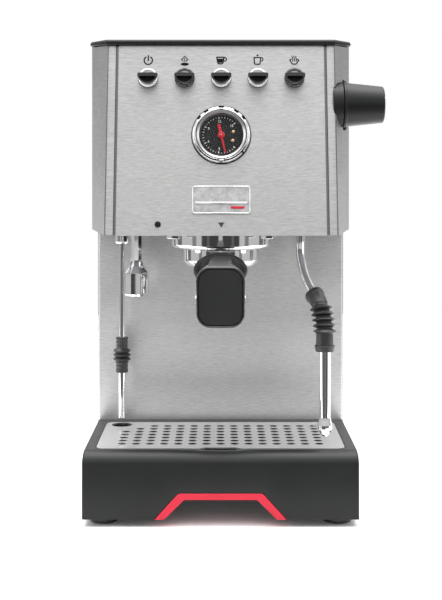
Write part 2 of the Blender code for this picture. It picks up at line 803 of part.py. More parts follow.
def make_portafilter_cup(group_axis, looks):
    cup = [
        (0.0050, 0.1865),
        (0.0120, 0.1865),
        (0.0120, 0.1925),
        (0.0285, 0.1954),
        (CUP_RADIUS - 0.0006, 0.1980),
        (CUP_RADIUS, 0.2010),
        (CUP_RADIUS, GROUP_BOTTOM - 2 * GAP),
        (0.0305, GROUP_BOTTOM - 2 * GAP),
        (0.0305, 0.2130),
        (0.0288, 0.2130),
        (0.0288, 0.1992),
        (0.0240, 0.1975),
        (0.0050, 0.1962),
    ]
    basket = [
        (0, 0.1983),
        (0.0240, 0.1983),
        (0.0272, 0.2002),
        (0.0284, 0.2133),
        (0.0304, 0.2134),
        (0.0304, 0.2141),
        (0.0276, 0.2141),
        (0.0265, 0.2009),
        (0.0236, 0.1991),
        (0, 0.1991),
    ]
    add("portafilter_cup", turned(cup, 26, True), looks["chrome"], group_axis)
    add("filter_basket", turned(basket, 20), looks["bright_steel"], group_axis)


def make_double_spout(group_axis, looks):
    """Two outlets from one arched pipe, with a hub that screws under the cup."""
    arch = smooth_path(
        [
            (-0.0180, 0, 0.1630),
            (-0.0165, 0, 0.1705),
            (-0.0095, 0, 0.1768),
            (0, 0, 0.1790),
            (0.0095, 0, 0.1768),
            (0.0165, 0, 0.1705),
            (0.0180, 0, 0.1630),
        ],
        2,
    )
    pipe = loft(rings_along(arch, [0.0047] * len(arch), 10))
    spout = add("double_spout", pipe, looks["chrome"], group_axis)
    hub = prism(circle(0.0085, 16), "Z", 0.1780, 0.1862)
    combine(spout, cutter("spout_hub_tool", hub, group_axis), "UNION")


def handle_ring(along, half_width, half_height, power, steps=20):
    """A rounded-rectangle section across the handle's own Y axis."""
    ring = []
    for step in range(steps):
        angle = 2 * math.pi * (step + 0.5) / steps
        u = math.copysign(abs(math.cos(angle)) ** power, math.cos(angle))
        v = math.copysign(abs(math.sin(angle)) ** power, math.sin(angle))
        ring.append(Vector((half_width * u, along, half_height * v)))
    return ring


def make_handle(handle_axis, looks):
    """Ferrule, grip and end cap, from the cup to the free end along the handle's own -Y."""
    ferrule = [(0.0140, 0.0102, 0.0080), (0.0100, 0.0102, 0.0085), (0.0042, 0.0125, 0.0105)]
    grip = [
        (0.0038, 0.0150, 0.0115, 1.0),
        (0.0022, 0.0200, 0.0134, 1.0),
        (-0.0020, 0.0214, 0.0142, 1.0),
        (-0.0060, 0.0190, 0.0130, 0.9),
        (-0.0140, 0.0115, 0.0112, 0.8),
        (-0.0400, 0.0125, 0.0135, 0.7),
        (-0.0700, 0.0150, 0.0180, 0.6),
        (-0.0920, 0.0168, 0.0215, 0.5),
    ]
    cap = [
        (-0.0923, 0.0168, 0.0217, 0.5),
        (-0.0935, 0.0175, 0.0224, 0.5),
        (-0.0968, 0.0175, 0.0224, 0.5),
        (-0.0978, 0.0165, 0.0214, 0.5),
    ]
    neck = [handle_ring(y, w, h, 0.8) for y, w, h in ferrule]
    add("handle_ferrule", loft(neck), looks["chrome"], handle_axis)
    add("handle_grip", loft([handle_ring(*section) for section in grip]), looks["matte_black"], handle_axis)
    add("handle_cap", loft([handle_ring(*section) for section in cap]), looks["matte_black"], handle_axis)


# Inside and rear


def make_pump(machine, looks):
    profile = [(0, -0.034), (0.0145, -0.034), (0.0145, -0.018), (0.0195, -0.018), (0.0195, 0.018)]
    profile += [(0.0145, 0.018), (0.0145, 0.034), (0, 0.034)]
    add("pump", turned(profile, 20), looks["dark_steel"], machine, (-0.045, 0.152, 0.045), FACING_RIGHT)


def make_solenoid_valve(machine, looks):
    outline = rounded_rectangle(-0.098, -0.072, 0.090, 0.116, 0.003, 2)
    add("solenoid_valve", prism(outline, "Z", 0.238, 0.272), looks["dark_steel"], machine)


def make_power_inlet(machine, looks):
    """A socket with its mouth in the rear panel."""
    back = BODY_DEPTH - GAP
    rings = []
    for inset, y in ((0, back - 0.020), (0, back), (0.002, back), (0.002, back - 0.016)):
        outline = rounded_rectangle(0.050 + inset, 0.078 - inset, 0.039 + inset, 0.062 - inset, 0.003, 2)
        rings.append(on_plane(outline, "Y", y))
    add("power_inlet", loft(rings), looks["matte_black"], machine)


def make_water_tank(tank_lift, looks):
    """A tall open box."""
    wall = 0.0025
    rings = []
    for inset, level in ((0, TANK_BOTTOM), (0, TANK_TOP), (wall, TANK_TOP), (wall, TANK_BOTTOM + wall)):
        outline = rounded_rectangle(
            -TANK_HALF_WIDTH + inset, TANK_HALF_WIDTH - inset, TANK_FRONT + inset, TANK_BACK - inset, 0.008
        )
        rings.append(on_plane(outline, "Z", level))
    add("water_tank", loft(rings), looks["tank"], tank_lift)


def make_fill_lid(lid_hinge, looks):
    front = 0.1742 - LID_HINGE[0]
    outline = rounded_rectangle(-0.0955, 0.0955, front, -0.0004, 0.003, 2)
    lid = prism(outline, "Z", -0.0026, -0.0002)
    add("fill_lid", lid, looks["matte_black"], lid_hinge)


def make_looks():
    return {
        "steel": look("steel", (0.62, 0.62, 0.61), 0.34, 1.0),
        "bright_steel": look("bright_steel", (0.75, 0.75, 0.75), 0.20, 1.0),
        "dark_steel": look("dark_steel", (0.22, 0.22, 0.23), 0.45, 1.0),
        "chrome": look("chrome", (0.85, 0.85, 0.86), 0.05, 1.0),
        "aluminium": look("aluminium", (0.70, 0.70, 0.70), 0.40, 1.0),
        "brass": look("brass", (0.72, 0.53, 0.22), 0.30, 1.0),
        "painted": look("painted", (0.03, 0.03, 0.03), 0.50),
        "matte_black": look("matte_black", (0.03, 0.03, 0.03), 0.50),
        "gloss_black": look("gloss_black", (0.02, 0.02, 0.02), 0.20),
        "smoke": look("smoke", (0.10, 0.10, 0.10), 0.20),
        "rubber": look("rubber", (0.05, 0.05, 0.05), 0.75),
        "trim_red": look("trim_red", (0.95, 0.06, 0.10), 0.45),
        "dial": look("dial", (0.03, 0.03, 0.03), 0.60),
        "needle_red": look("needle_red", (0.85, 0.03, 0.03), 0.45),
        "dark_lens": look("dark_lens", (0.01, 0.01, 0.01), 0.15),
        "glass": look("glass", (0.90, 0.92, 0.92), 0.03),
        "tank": look("tank", (0.55, 0.58, 0.60), 0.20),
    }


def stand_on_origin(machine):
    """Moves the whole machine so that its box stands on the origin, centred in X and Y."""
    bpy.context.view_layer.update()
    solids = [piece for piece in bpy.data.objects if piece.type == "MESH" and not piece.hide_render]
    points = [piece.matrix_world @ vertex.co for piece in solids for vertex in piece.data.vertices]
    low = Vector(min(point[axis] for point in points) for axis in range(3))
    high = Vector(max(point[axis] for point in points) for axis in range(3))
    machine.location = (-(low.x + high.x) / 2, -(low.y + high.y) / 2, -low.z)
    bpy.context.view_layer.update()


def build():
    clear_scene()
    looks = make_looks()
    machine = pivot("machine", None, (0, 0, 0))
    panel_corner = (FRONT_SHIFT, HOOD_FRONT_BOTTOM, HOOD_BOTTOM)
    front_plane = pivot("front_plane", machine, panel_corner, (-HOOD_LEAN, 0, 0))
    tray_slide = pivot("tray_slide_axis", machine, (0, 0, 0))
    tank_lift = pivot("tank_lift_axis", machine, (0, 0, 0))
    lid_hinge = pivot("lid_hinge_axis", tank_lift, (0, *LID_HINGE))
    knob_axis = pivot("knob_axis", machine, (0, *KNOB_AXIS))
    wand_axis = pivot("wand_axis", machine, (*WAND_AXIS, 0))
    group_axis = pivot("group_axis", machine, (*GROUP_AXIS, 0))
    handle_axis = pivot("handle_axis", group_axis, HANDLE_START, (HANDLE_DROOP, 0, 0))
    needle_axis = pivot("needle_axis", front_plane, (0, 0, GAUGE_UP), FACING_FRONT)

    make_base_plate(machine, looks)
    make_feet(machine, looks)
    make_drip_tray(tray_slide, looks)
    make_tray_trim(tray_slide, looks)
    make_drip_grille(tray_slide, looks)
    make_column_panel(machine, looks)
    make_side_panels(machine, looks)
    make_corner_strips(machine, looks)
    make_rear_panel(machine, looks)
    make_front_panel(front_plane, looks)
    make_hood_floor(machine, looks)
    make_top_frame(machine, looks)
    make_cup_warmer_plate(machine, looks)
    make_badge_plate(front_plane, looks)
    make_indicator_lens(front_plane, looks)
    make_gauge(front_plane, looks)
    make_gauge_needle(needle_axis, looks)
    make_switches(front_plane, looks)
    make_steam_knob(machine, knob_axis, looks)
    make_steam_valve(machine, looks)
    make_steam_wand(wand_axis, looks)
    make_drain_tube(machine, looks)
    make_relief_nozzle(machine, looks)
    make_group(machine, looks)
    make_portafilter_cup(group_axis, looks)
    make_double_spout(group_axis, looks)
    make_handle(handle_axis, looks)
    make_pump(machine, looks)
    make_solenoid_valve(machine, looks)
    make_power_inlet(machine, looks)
    make_water_tank(tank_lift, looks)
    make_fill_lid(lid_hinge, looks)
    stand_on_origin(machine)


build()
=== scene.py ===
"""Looks for the espresso machine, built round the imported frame.

Shapes are drawn in millimetres and piece() turns them into metres.
Body space has X to the right, Y to the back from the drip tray's face, and Z up from the floor.
Face space lies on the leaning front panel, with the gauge's centre as its origin and Z outwards.
"""

import json
import math

import bmesh
import bpy
from mathutils import Matrix, Vector


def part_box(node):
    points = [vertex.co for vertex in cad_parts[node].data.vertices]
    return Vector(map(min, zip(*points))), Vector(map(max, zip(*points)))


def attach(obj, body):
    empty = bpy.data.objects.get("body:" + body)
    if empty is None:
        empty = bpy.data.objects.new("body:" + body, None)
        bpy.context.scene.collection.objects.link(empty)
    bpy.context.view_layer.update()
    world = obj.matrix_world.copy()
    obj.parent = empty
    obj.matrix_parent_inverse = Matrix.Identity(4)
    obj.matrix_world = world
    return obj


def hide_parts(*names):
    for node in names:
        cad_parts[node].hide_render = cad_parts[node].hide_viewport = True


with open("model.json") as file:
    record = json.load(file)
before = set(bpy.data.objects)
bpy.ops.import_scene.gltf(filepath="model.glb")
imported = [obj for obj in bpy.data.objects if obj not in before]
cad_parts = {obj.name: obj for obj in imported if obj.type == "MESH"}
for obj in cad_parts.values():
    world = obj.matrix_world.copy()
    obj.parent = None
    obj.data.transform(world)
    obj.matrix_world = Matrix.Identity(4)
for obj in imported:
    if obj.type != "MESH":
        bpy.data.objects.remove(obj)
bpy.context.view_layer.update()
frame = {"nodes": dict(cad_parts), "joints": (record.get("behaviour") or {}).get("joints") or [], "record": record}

MM = 0.001
JOINTS = {joint["name"]: joint for joint in frame["joints"]}


def space(origin, x_axis, y_axis, z_axis):
    """A matrix whose axes and origin are given in the frame's own space."""
    turn = Matrix((x_axis, y_axis, z_axis)).transposed().to_4x4()
    return Matrix.Translation(origin) @ turn


def pivot(name):
    return Vector(JOINTS[name]["pos_m"])


TRAY_LOW, TRAY_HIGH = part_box("drip_tray")
X, Y, Z = Vector((1, 0, 0)), Vector((0, 1, 0)), Vector((0, 0, 1))
ORIGIN = Vector(((TRAY_LOW.x + TRAY_HIGH.x) / 2, TRAY_LOW.y, 0))
BODY = space(ORIGIN, X, Y, Z)
FORWARD = space(ORIGIN, X, Z, -Y)
INWARD = Vector(JOINTS["needle_sweep"]["axis"])
FACE = space(pivot("needle_sweep"), X, X.cross(INWARD), -INWARD)
KNOB = space(pivot("steam_knob_turn"), Y, Z, X)
GROUP = space(pivot("portafilter_turn"), X, Y, Z)
GROUP.translation.z = 0
WAND = space(pivot("wand_swivel"), X, Y, Z)
WAND.translation.z = 0
HANDLE_DROOP = math.radians(7.0)
HANDLE = GROUP @ Matrix.Translation((0, -0.047, 0.1946)) @ Matrix.Rotation(HANDLE_DROOP, 4, "X")

HALF_WIDTH = (TRAY_HIGH.x - TRAY_LOW.x) / 2 / MM
HOOD_LOW = (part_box("corner_strip_left")[0] - ORIGIN) / MM
HOOD_HIGH = (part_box("corner_strip_left")[1] - ORIGIN) / MM
SHIFT = (FACE.translation.x - ORIGIN.x) / MM
CHAMFER_BACK = 77.4
DRAIN = (-83.8, 102.5)
GAUGE_HOLE = 19.0
SWITCH_HOLE = 5.6
TRAY_TOP = 57.6
CAMERA_PLACE = Vector((0, -0.9346, 0.2732))
OVERHEAD_LEVEL = 5.0
KEY_LEVEL = 2.5
DARK_DEPTH = 0.90


# Outlines


def filleted(corners, radii, closed=True, steps=6):
    """Points along an outline whose corners are rounded by arcs."""
    points = []
    count = len(corners)
    for index, corner in enumerate(corners):
        here = Vector(corner)
        is_end = not closed and index in (0, count - 1)
        if is_end or radii[index] == 0:
            points.append(here)
            continue
        back = (Vector(corners[index - 1]) - here).normalized()
        ahead = (Vector(corners[(index + 1) % count]) - here).normalized()
        half = math.acos(max(-1, min(1, back.dot(ahead)))) / 2
        centre = here + (back + ahead).normalized() * radii[index] / math.sin(half)
        start = here + back * radii[index] / math.tan(half) - centre
        end = here + ahead * radii[index] / math.tan(half) - centre
        sweep = math.atan2(start.x * end.y - start.y * end.x, start.dot(end))
        for step in range(steps + 1):
            points.append(centre + Matrix.Rotation(sweep * step / steps, 2) @ start)
    return points


def rectangle(x0, x1, y0, y1, radius, steps=6, along=0):
    """A rounded rectangle, with extra points on its straight sides if asked."""
    points = filleted([(x0, y0), (x1, y0), (x1, y1), (x0, y1)], [radius] * 4, True, steps)
    if not along:
        return points
    dense = []
    for index, point in enumerate(points):
        dense.append(point)
        if index % (steps + 1) == steps:
            after = points[(index + 1) % len(points)]
            dense += [point.lerp(after, (k + 1) / (along + 1)) for k in range(along)]
    return dense


def circle(radius, steps, centre=(0, 0), start=0.0):
    angles = [start + 2 * math.pi * step / steps for step in range(steps)]
    return [Vector((centre[0] + radius * math.cos(a), centre[1] + radius * math.sin(a))) for a in angles]


def arc(radius, start, end, steps, centre=(0, 0)):
    """Points on an arc, with its angles in degrees."""
    angles = [math.radians(start + (end - start) * step / steps) for step in range(steps + 1)]
    return [Vector((centre[0] + radius * math.cos(a), centre[1] + radius * math.sin(a))) for a in angles]


def at_level(outline, level):
    return [Vector((u, v, level)) for u, v in outline]


# Meshes, in millimetres


def loft(rings, is_loop=False):
    """A closed surface through rings with the same number of points."""
    mesh = bmesh.new()
    loops = [[mesh.verts.new(point) for point in ring] for ring in rings]
    pairs = list(zip(loops, loops[1:]))
    if is_loop:
        pairs.append((loops[-1], loops[0]))
    for lower, upper in pairs:
        for index in range(len(lower)):
            after = (index + 1) % len(lower)
            mesh.faces.new((lower[index], lower[after], upper[after], upper[index]))
    if not is_loop:
        mesh.faces.new(loops[0])
        mesh.faces.new(loops[-1])
    bmesh.ops.recalc_face_normals(mesh, faces=mesh.faces)
    if mesh.calc_volume(signed=True) < 0:
        bmesh.ops.reverse_faces(mesh, faces=mesh.faces)
    return mesh


def prism(outline, start, end):
    return loft([at_level(outline, start), at_level(outline, end)])


def box(x0, x1, y0, y1, z0, z1):
    return prism([(x0, y0), (x1, y0), (x1, y1), (x0, y1)], z0, z1)


def turned(profile, steps=64, is_ring=False):
    """A profile of (radius, height) points turned about Z. A ring's profile is a closed loop."""
    mesh = bmesh.new()
    verts = [mesh.verts.new((radius, 0, height)) for radius, height in profile]
    edges = [mesh.edges.new(pair) for pair in zip(verts, verts[1:])]
    if is_ring:
        edges.append(mesh.edges.new((verts[-1], verts[0])))
    full = 2 * math.pi
    bmesh.ops.spin(mesh, geom=verts + edges, cent=(0, 0, 0), axis=(0, 0, 1), angle=full, steps=steps)
    bmesh.ops.remove_doubles(mesh, verts=mesh.verts, dist=1e-3)
    bmesh.ops.recalc_face_normals(mesh, faces=mesh.faces)
    return mesh


def sector(section, clock_angle, half_angle, steps=8):
    """Part of a turned ring, centred on an angle in degrees clockwise from twelve."""
    rings = []
    for step in range(steps + 1):
        share = 2 * step / steps - 1
        turn = Matrix.Rotation(math.radians(90 - clock_angle + share * half_angle), 3, "Z")
        rings.append([turn @ Vector((radius, 0, level)) for radius, level in section])
    return loft(rings)


def lathe(corners, radii, steps=64, is_ring=False, arc_steps=6):
    """An outline with rounded corners, turned about Z."""
    return turned(filleted(corners, radii, is_ring, arc_steps), steps, is_ring)


def thickened(mesh, depth):
    """A flat mesh given its depth, downwards."""
    down = bmesh.ops.extrude_face_region(mesh, geom=list(mesh.faces))
    lower = [item for item in down["geom"] if isinstance(item, bmesh.types.BMVert)]
    bmesh.ops.translate(mesh, verts=lower, vec=(0, 0, -depth))
    bmesh.ops.recalc_face_normals(mesh, faces=mesh.faces)
    return mesh


def sheet_with_holes(outline, holes, bottom, top):
    """A flat plate cut through by closed outlines."""
    mesh = bmesh.new()
    for loop in [outline] + holes:
        verts = [mesh.verts.new((u, v, top)) for u, v in loop]
        for index, vert in enumerate(verts):
            mesh.edges.new((vert, verts[(index + 1) % len(verts)]))
    bmesh.ops.triangle_fill(mesh, edges=mesh.edges, use_beauty=True)
    return thickened(mesh, top - bottom)


def ribbon(points, width, thickness, closed=False):
    """A flat printed stroke along a line in the XY plane."""
    count = len(points)
    mesh = bmesh.new()
    rows = []
    for index, point in enumerate(points):
        before = points[index - 1] if closed or index > 0 else point
        after = points[(index + 1) % count] if closed or index < count - 1 else point
        along = (Vector(after) - Vector(before)).normalized()
        side = Vector((-along.y, along.x)) * width / 2
        left = Vector(point) + side
        right = Vector(point) - side
        rows.append([mesh.verts.new((*left, thickness)), mesh.verts.new((*right, thickness))])
    last = count if closed else count - 1
    for index in range(last):
        here, there = rows[index], rows[(index + 1) % count]
        mesh.faces.new((here[0], here[1], there[1], there[0]))
    return thickened(mesh, thickness)


def smooth_path(points, per_span):
    """A Catmull-Rom curve through the points."""
    knots = [Vector(point) for point in points]
    ends = [2 * knots[0] - knots[1]] + knots + [2 * knots[-1] - knots[-2]]
    path = []
    for a, b, c, d in zip(ends, ends[1:], ends[2:], ends[3:]):
        for step in range(per_span):
            t = step / per_span
            bend = (2 * a - 5 * b + 4 * c - d) * t * t + (3 * b - a - 3 * c + d) * t**3
            path.append(b + (c - a) * t / 2 + bend / 2)
    path.append(knots[-1])
    return path


def rings_along(path, radii, steps, level_share=None):
    """Circles across a path, carried along it without twist, and laid more level where asked."""
    side = Vector((1, 0, 0))
    rings = []
    for index, point in enumerate(path):
        before = path[max(index - 1, 0)]
        after = path[min(index + 1, len(path) - 1)]
        along = (after - before).normalized()
        if level_share:
            along = along.lerp(-Z, level_share(point)).normalized()
        side = (side - along * side.dot(along)).normalized()
        up = along.cross(side)
        rings.append([point + side * u + up * v for u, v in circle(radii[index], steps)])
    return rings


def moved(mesh, offset=(0, 0, 0), turn=None):
    if turn:
        bmesh.ops.rotate(mesh, verts=mesh.verts, cent=(0, 0, 0), matrix=turn)
    bmesh.ops.translate(mesh, verts=mesh.verts, vec=offset)
    return mesh


def merged(meshes):
    """Several meshes as one."""
    whole = bmesh.new()
    for mesh in meshes:
        data = bpy.data.meshes.new("merge")
        mesh.to_mesh(data)
        mesh.free()
        whole.from_mesh(data)
        bpy.data.meshes.remove(data)
    return whole


def bevelled(obj, width, segments=2, angle=40):
    step = obj.modifiers.new("edge", "BEVEL")
    step.width = width * MM
    step.segments = segments
    step.limit_method = "ANGLE"
    step.angle_limit = math.radians(angle)
    step.harden_normals = False


def as_object(name, mesh, matrix):
    """Puts a mesh drawn in millimetres in the scene, in metres."""
    bmesh.ops.scale(mesh, vec=(MM, MM, MM), verts=mesh.verts)
    data = bpy.data.meshes.new(name)
    mesh.to_mesh(data)
    mesh.free()
    obj = bpy.data.objects.new(name, data)
    bpy.context.collection.objects.link(obj)
    obj.matrix_world = matrix
    return obj


def piece(name, mesh, slot, body, matrix=BODY, replaces=(), look=None, bevel=0, smooth=35):
    """Adds a mesh drawn in millimetres as a piece that rides on a body."""
    obj = as_object(name, mesh, matrix)
    obj.data.shade_smooth()
    obj.data.set_sharp_from_angle(angle=math.radians(smooth))
    obj.data.materials.append(look or LOOKS[slot])
    if bevel:
        bevelled(obj, bevel)
    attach(obj, body)
    if replaces:
        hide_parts(*replaces)
    return obj


def fine(node, mesh, slot, body, matrix=BODY, **finish):
    """Adds the finer piece that is shown in place of a CAD node."""
    return piece(f"{node}_fine", mesh, slot, body, matrix, [node], **finish)


def carve(obj, mesh, matrix):
    """Cuts a mesh drawn in millimetres out of an object, for good."""
    tool = as_object("cut", mesh, matrix)
    step = obj.modifiers.new("cut", "BOOLEAN")
    step.operation = "DIFFERENCE"
    step.solver = "EXACT"
    step.object = tool
    bpy.context.view_layer.update()
    solid = obj.evaluated_get(bpy.context.evaluated_depsgraph_get())
    obj.data = bpy.data.meshes.new_from_object(solid)
    obj.modifiers.remove(step)
    bpy.data.objects.remove(tool)


# Materials


class Nodes:
    """Small helpers for one material's node tree."""

    def __init__(self, name):
        self.material = bpy.data.materials.new(name)
        self.material.use_nodes = True
        self.tree = self.material.node_tree
        self.shader = self.tree.nodes["Principled BSDF"]
        self.place = self.tree.nodes.new("ShaderNodeTexCoord").outputs["Object"]

    def set(self, **values):
        for name, value in values.items():
            self.shader.inputs[name.replace("_", " ")].default_value = value

    def link(self, source, target):
        self.tree.links.new(source, target)

    def noise(self, scale, detail=3.0, roughness=0.6, stretch=(1, 1, 1)):
        mapping = self.tree.nodes.new("ShaderNodeMapping")
        mapping.inputs["Scale"].default_value = stretch
        self.link(self.place, mapping.inputs["Vector"])
        texture = self.tree.nodes.new("ShaderNodeTexNoise")
        texture.inputs["Scale"].default_value = scale
        texture.inputs["Detail"].default_value = detail
        texture.inputs["Roughness"].default_value = roughness
        self.link(mapping.outputs["Vector"], texture.inputs["Vector"])
        return texture.outputs["Fac"]

    def ranged(self, value, low, high, start=0.3, end=0.7):
        node = self.tree.nodes.new("ShaderNodeMapRange")
        for index, number in enumerate((start, end, low, high)):
            node.inputs[index + 1].default_value = number
        self.link(value, node.inputs[0])
        return node.outputs[0]

    def colours(self, value, dark, light, start=0.3, end=0.7):
        ramp = self.tree.nodes.new("ShaderNodeValToRGB")
        ramp.color_ramp.elements[0].position = start
        ramp.color_ramp.elements[1].position = end
        ramp.color_ramp.elements[0].color = (*dark, 1)
        ramp.color_ramp.elements[1].color = (*light, 1)
        self.link(value, ramp.inputs["Fac"])
        self.link(ramp.outputs["Color"], self.shader.inputs["Base Color"])

    def roughness(self, value, low, high):
        self.link(self.ranged(value, low, high), self.shader.inputs["Roughness"])

    def bump(self, value, strength, distance=0.0002):
        node = self.tree.nodes.new("ShaderNodeBump")
        node.inputs["Strength"].default_value = strength
        node.inputs["Distance"].default_value = distance
        self.link(value, node.inputs["Height"])
        self.link(node.outputs["Normal"], self.shader.inputs["Normal"])


def scaled(colour, factor):
    return tuple(min(1.0, channel * factor) for channel in colour)


def brushed(name, colour, low, high, contrast=0.10, bump=0.05):
    """Steel with fine horizontal grain, long along X and Y, whose gloss spreads across the grain."""
    nodes = Nodes(name)
    nodes.set(Metallic=1.0, Anisotropic=0.3)
    grain = nodes.noise(1.0, 4.0, 0.75, (150, 150, 2600))
    cloud = nodes.noise(9.0, 2.0, 0.5, (1, 1, 3))
    nodes.colours(grain, scaled(colour, 1 - contrast), scaled(colour, 1 + contrast), 0.36, 0.64)
    nodes.roughness(cloud, low, high)
    nodes.bump(grain, bump, 0.0001)
    across = nodes.tree.nodes.new("ShaderNodeCombineXYZ")
    for socket, value in zip(across.inputs, (0.05, 0.03, 1.0)):
        socket.default_value = value
    nodes.link(across.outputs[0], nodes.shader.inputs["Tangent"])
    return nodes.material


def polished(name, colour, low=0.03, high=0.07):
    """Plated metal with faint handling marks in its gloss."""
    nodes = Nodes(name)
    nodes.set(Metallic=1.0)
    marks = nodes.noise(60.0, 4.0, 0.6)
    nodes.colours(marks, scaled(colour, 0.97), scaled(colour, 1.02))
    nodes.roughness(marks, low, high)
    return nodes.material


def moulded(name, colour, low, high, grain=2600.0, bump=0.08, contrast=0.10, gloss=0.25, haze=0.0):
    """Plastic or rubber with a fine spark-eroded texture, and a haze that lightens it at low angles."""
    nodes = Nodes(name)
    texture = nodes.noise(grain, 2.0, 0.5)
    cloud = nodes.noise(24.0, 3.0, 0.55)
    nodes.colours(cloud, scaled(colour, 1 - contrast), scaled(colour, 1 + contrast))
    nodes.roughness(cloud, low, high)
    nodes.bump(texture, bump, 0.0001)
    nodes.set(Specular_IOR_Level=gloss, Sheen_Weight=haze, Sheen_Roughness=0.35)
    return nodes.material


def clear(name, colour, roughness, alpha):
    """Thin clear plastic or glass: mostly see-through, with a reflection."""
    nodes = Nodes(name)
    haze = nodes.noise(40.0, 2.0, 0.5)
    nodes.colours(haze, scaled(colour, 0.96), scaled(colour, 1.04))
    nodes.roughness(haze, roughness, roughness + 0.03)
    nodes.set(Alpha=alpha)
    return nodes.material


def grey(level):
    return (level, level, level)


# Colour, lowest and highest roughness, then grain contrast and bump strength.
BRUSHED = {
    "stainless_steel": ((0.455, 0.455, 0.453), 0.36, 0.44, 0.20),
    "bright_steel": (grey(0.90), 0.22, 0.30, 0.03, 0.02),
    "aluminium": (grey(0.62), 0.40, 0.55, 0.10, 0.20),
}
# Colour, lowest and highest roughness.
POLISHED = {
    "plated_steel": ((0.20, 0.20, 0.21), 0.35, 0.50),
    "chrome": ((0.74, 0.74, 0.745), 0.05, 0.10),
    "brass": ((0.86, 0.60, 0.34), 0.22, 0.35),
}
# Colour, lowest and highest roughness, then grain scale, bump strength, contrast, gloss and haze.
MOULDED = {
    "black_paint": (grey(0.012), 0.40, 0.55, 900.0),
    "black_plastic": ((0.0095, 0.0100, 0.0100), 0.33, 0.39, 2600.0, 0.08, 0.10, 0.25, 0.05),
    "gloss_black_plastic": (grey(0.016), 0.20, 0.28, 800.0, 0.02, 0.1, 0.5),
    "smoke_plastic": (grey(0.045), 0.12, 0.20, 600.0, 0.02, 0.1, 0.5),
    "rubber": ((0.021, 0.0215, 0.021), 0.30, 0.40, 1400.0, 0.15, 0.18, 0.5),
    "red_trim": ((0.52, 0.018, 0.040), 0.38, 0.48, 2000.0, 0.03, 0.03),
    "dial_black": ((0.014, 0.016, 0.015), 0.50, 0.60, 3000.0, 0.03),
    "needle_red": ((0.66, 0.025, 0.045), 0.35, 0.45, 1800.0, 0.02, 0.05),
    "dark_lens": (grey(0.004), 0.14, 0.22, 500.0, 0.0),
}
# Colour, lowest roughness, and how much it hides.
CLEAR = {
    "gauge_glass": (grey(0.020), 0.02, 0.10),
    "tank_plastic": ((0.70, 0.74, 0.76), 0.12, 0.45),
}


def make_looks():
    looks = {}
    for make, table in ((brushed, BRUSHED), (polished, POLISHED), (moulded, MOULDED), (clear, CLEAR)):
        for name, values in table.items():
            looks[name] = make(name, *values)
    return looks


LOOKS = make_looks()
# Near-black ink for the printed icons; the gauge bezel's grooves and notches and the levers' scoops use it as
# painted shade.
INK_AND_SHADE = moulded("ink_and_painted_shade", grey(0.004), 0.60, 0.70, 2500.0, 0.02, 0.1, 0.1)
PRINT = moulded("dial_print", (0.80, 0.82, 0.81), 0.50, 0.60, 2500.0, 0.02)
# Dark grey print for the lock mark; the rings round the switch bezels use it as painted shade.
GREY_PRINT_AND_SHADE = moulded("grey_print_and_shade", grey(0.055), 0.55, 0.65, 2500.0, 0.02, 0.1, 0.1)
# Near-white for the chrome switch bezels and wells: painted reflection of the bright studio.
REFLECTION_WHITE = moulded("painted_reflection_white", (0.86, 0.87, 0.87), 0.12, 0.20, 800.0, 0.01, 0.02)
RIM_GLOSS = moulded("rim_gloss", grey(0.014), 0.16, 0.22, 2600.0, 0.02, 0.1, 0.6)
SHADE = brushed("shaded_steel", grey(0.36), 0.26, 0.34, 0.03, 0.02)
CAP_BLACK = moulded("cap_black", (0.019, 0.0195, 0.0195), 0.36, 0.42, 2600.0, 0.08, 0.10, 0.4, 0.1)
# Darker copy of the case steel: painted shade on the sides, back and cup plate.
SHADED_CASE_STEEL = brushed("case_steel_painted_shade", (0.27, 0.27, 0.269), 0.36, 0.44, 0.16)
# Lighter copy of the steel: painted light on the column under the hood.
LIT_COLUMN_STEEL = brushed("column_steel_painted_light", (0.66, 0.66, 0.658), 0.36, 0.44, 0.16)
# Dark steel: painted shade in the strip seams and creases and on the gauge's inner wall.
SHADOW_STEEL = brushed("painted_shade_steel", grey(0.16), 0.26, 0.34, 0.03, 0.02)


# CAD pieces that keep their shape


def dress_cad():
    """Gives each CAD node its finish, with painted shade on the case sheets as a darker copy of the steel, and
    breaks the sheets' sharp edges.
    """
    for part in frame["record"]["subparts"]:
        node = frame["nodes"][part["node"]]
        for holder in node.material_slots:
            holder.material = LOOKS[part["material_slot"]]
    for name, width in (
        ("side_panel_left", 0.5),
        ("side_panel_right", 0.5),
        ("rear_panel", 0.4),
        ("cup_warmer_plate", 0.4),
        ("fill_lid", 0.7),
        ("base_plate", 0.4),
        ("hood_floor", 0.3),
    ):
        node = frame["nodes"][name]
        weld = node.modifiers.new("weld", "WELD")
        weld.merge_threshold = 1e-5
        bevelled(node, width, 3)
    # The case sheets take the darker copy of the steel, as painted shade.
    for name in ("side_panel_left", "side_panel_right", "rear_panel", "cup_warmer_plate"):
        for holder in frame["nodes"][name].material_slots:
            holder.material = SHADED_CASE_STEEL


# Base


def make_feet():
    corners = [(0, 6), (11, 6), (11, 0.6), (10.2, 0), (6, 0), (5, 0.8), (0, 0.8)]
    radii = [0, 0.3, 0.5, 0.3, 0.3, 0.3, 0]
    for end, y in (("front", 20), ("rear", 218)):
        for side, x in (("left", -91), ("right", 91)):
            node = f"foot_{end}_{side}"
            fine(node, moved(lathe(corners, radii, 48), (x, y, 0)), "rubber", "housing", BODY)


def tray_ring(inset, level, radius=1.6):
    """The tray's outline at a distance in from its front, which is much less at its sides."""
    half = HALF_WIDTH - 0.12 * inset
    return at_level(rectangle(-half, half, inset, 124.5, radius, 6, 24), level)


def tray_well(half, front, back, level, radius):
    return at_level(rectangle(-half, half, front, back, radius, 6, 24), level)


def recess_outline(half_bottom, half_top, bottom, top, radius):
    corners = [(-half_bottom, bottom), (-half_top, top), (half_top, top), (half_bottom, bottom)]
    return filleted(corners, [0, radius, radius, 0], True, 8)


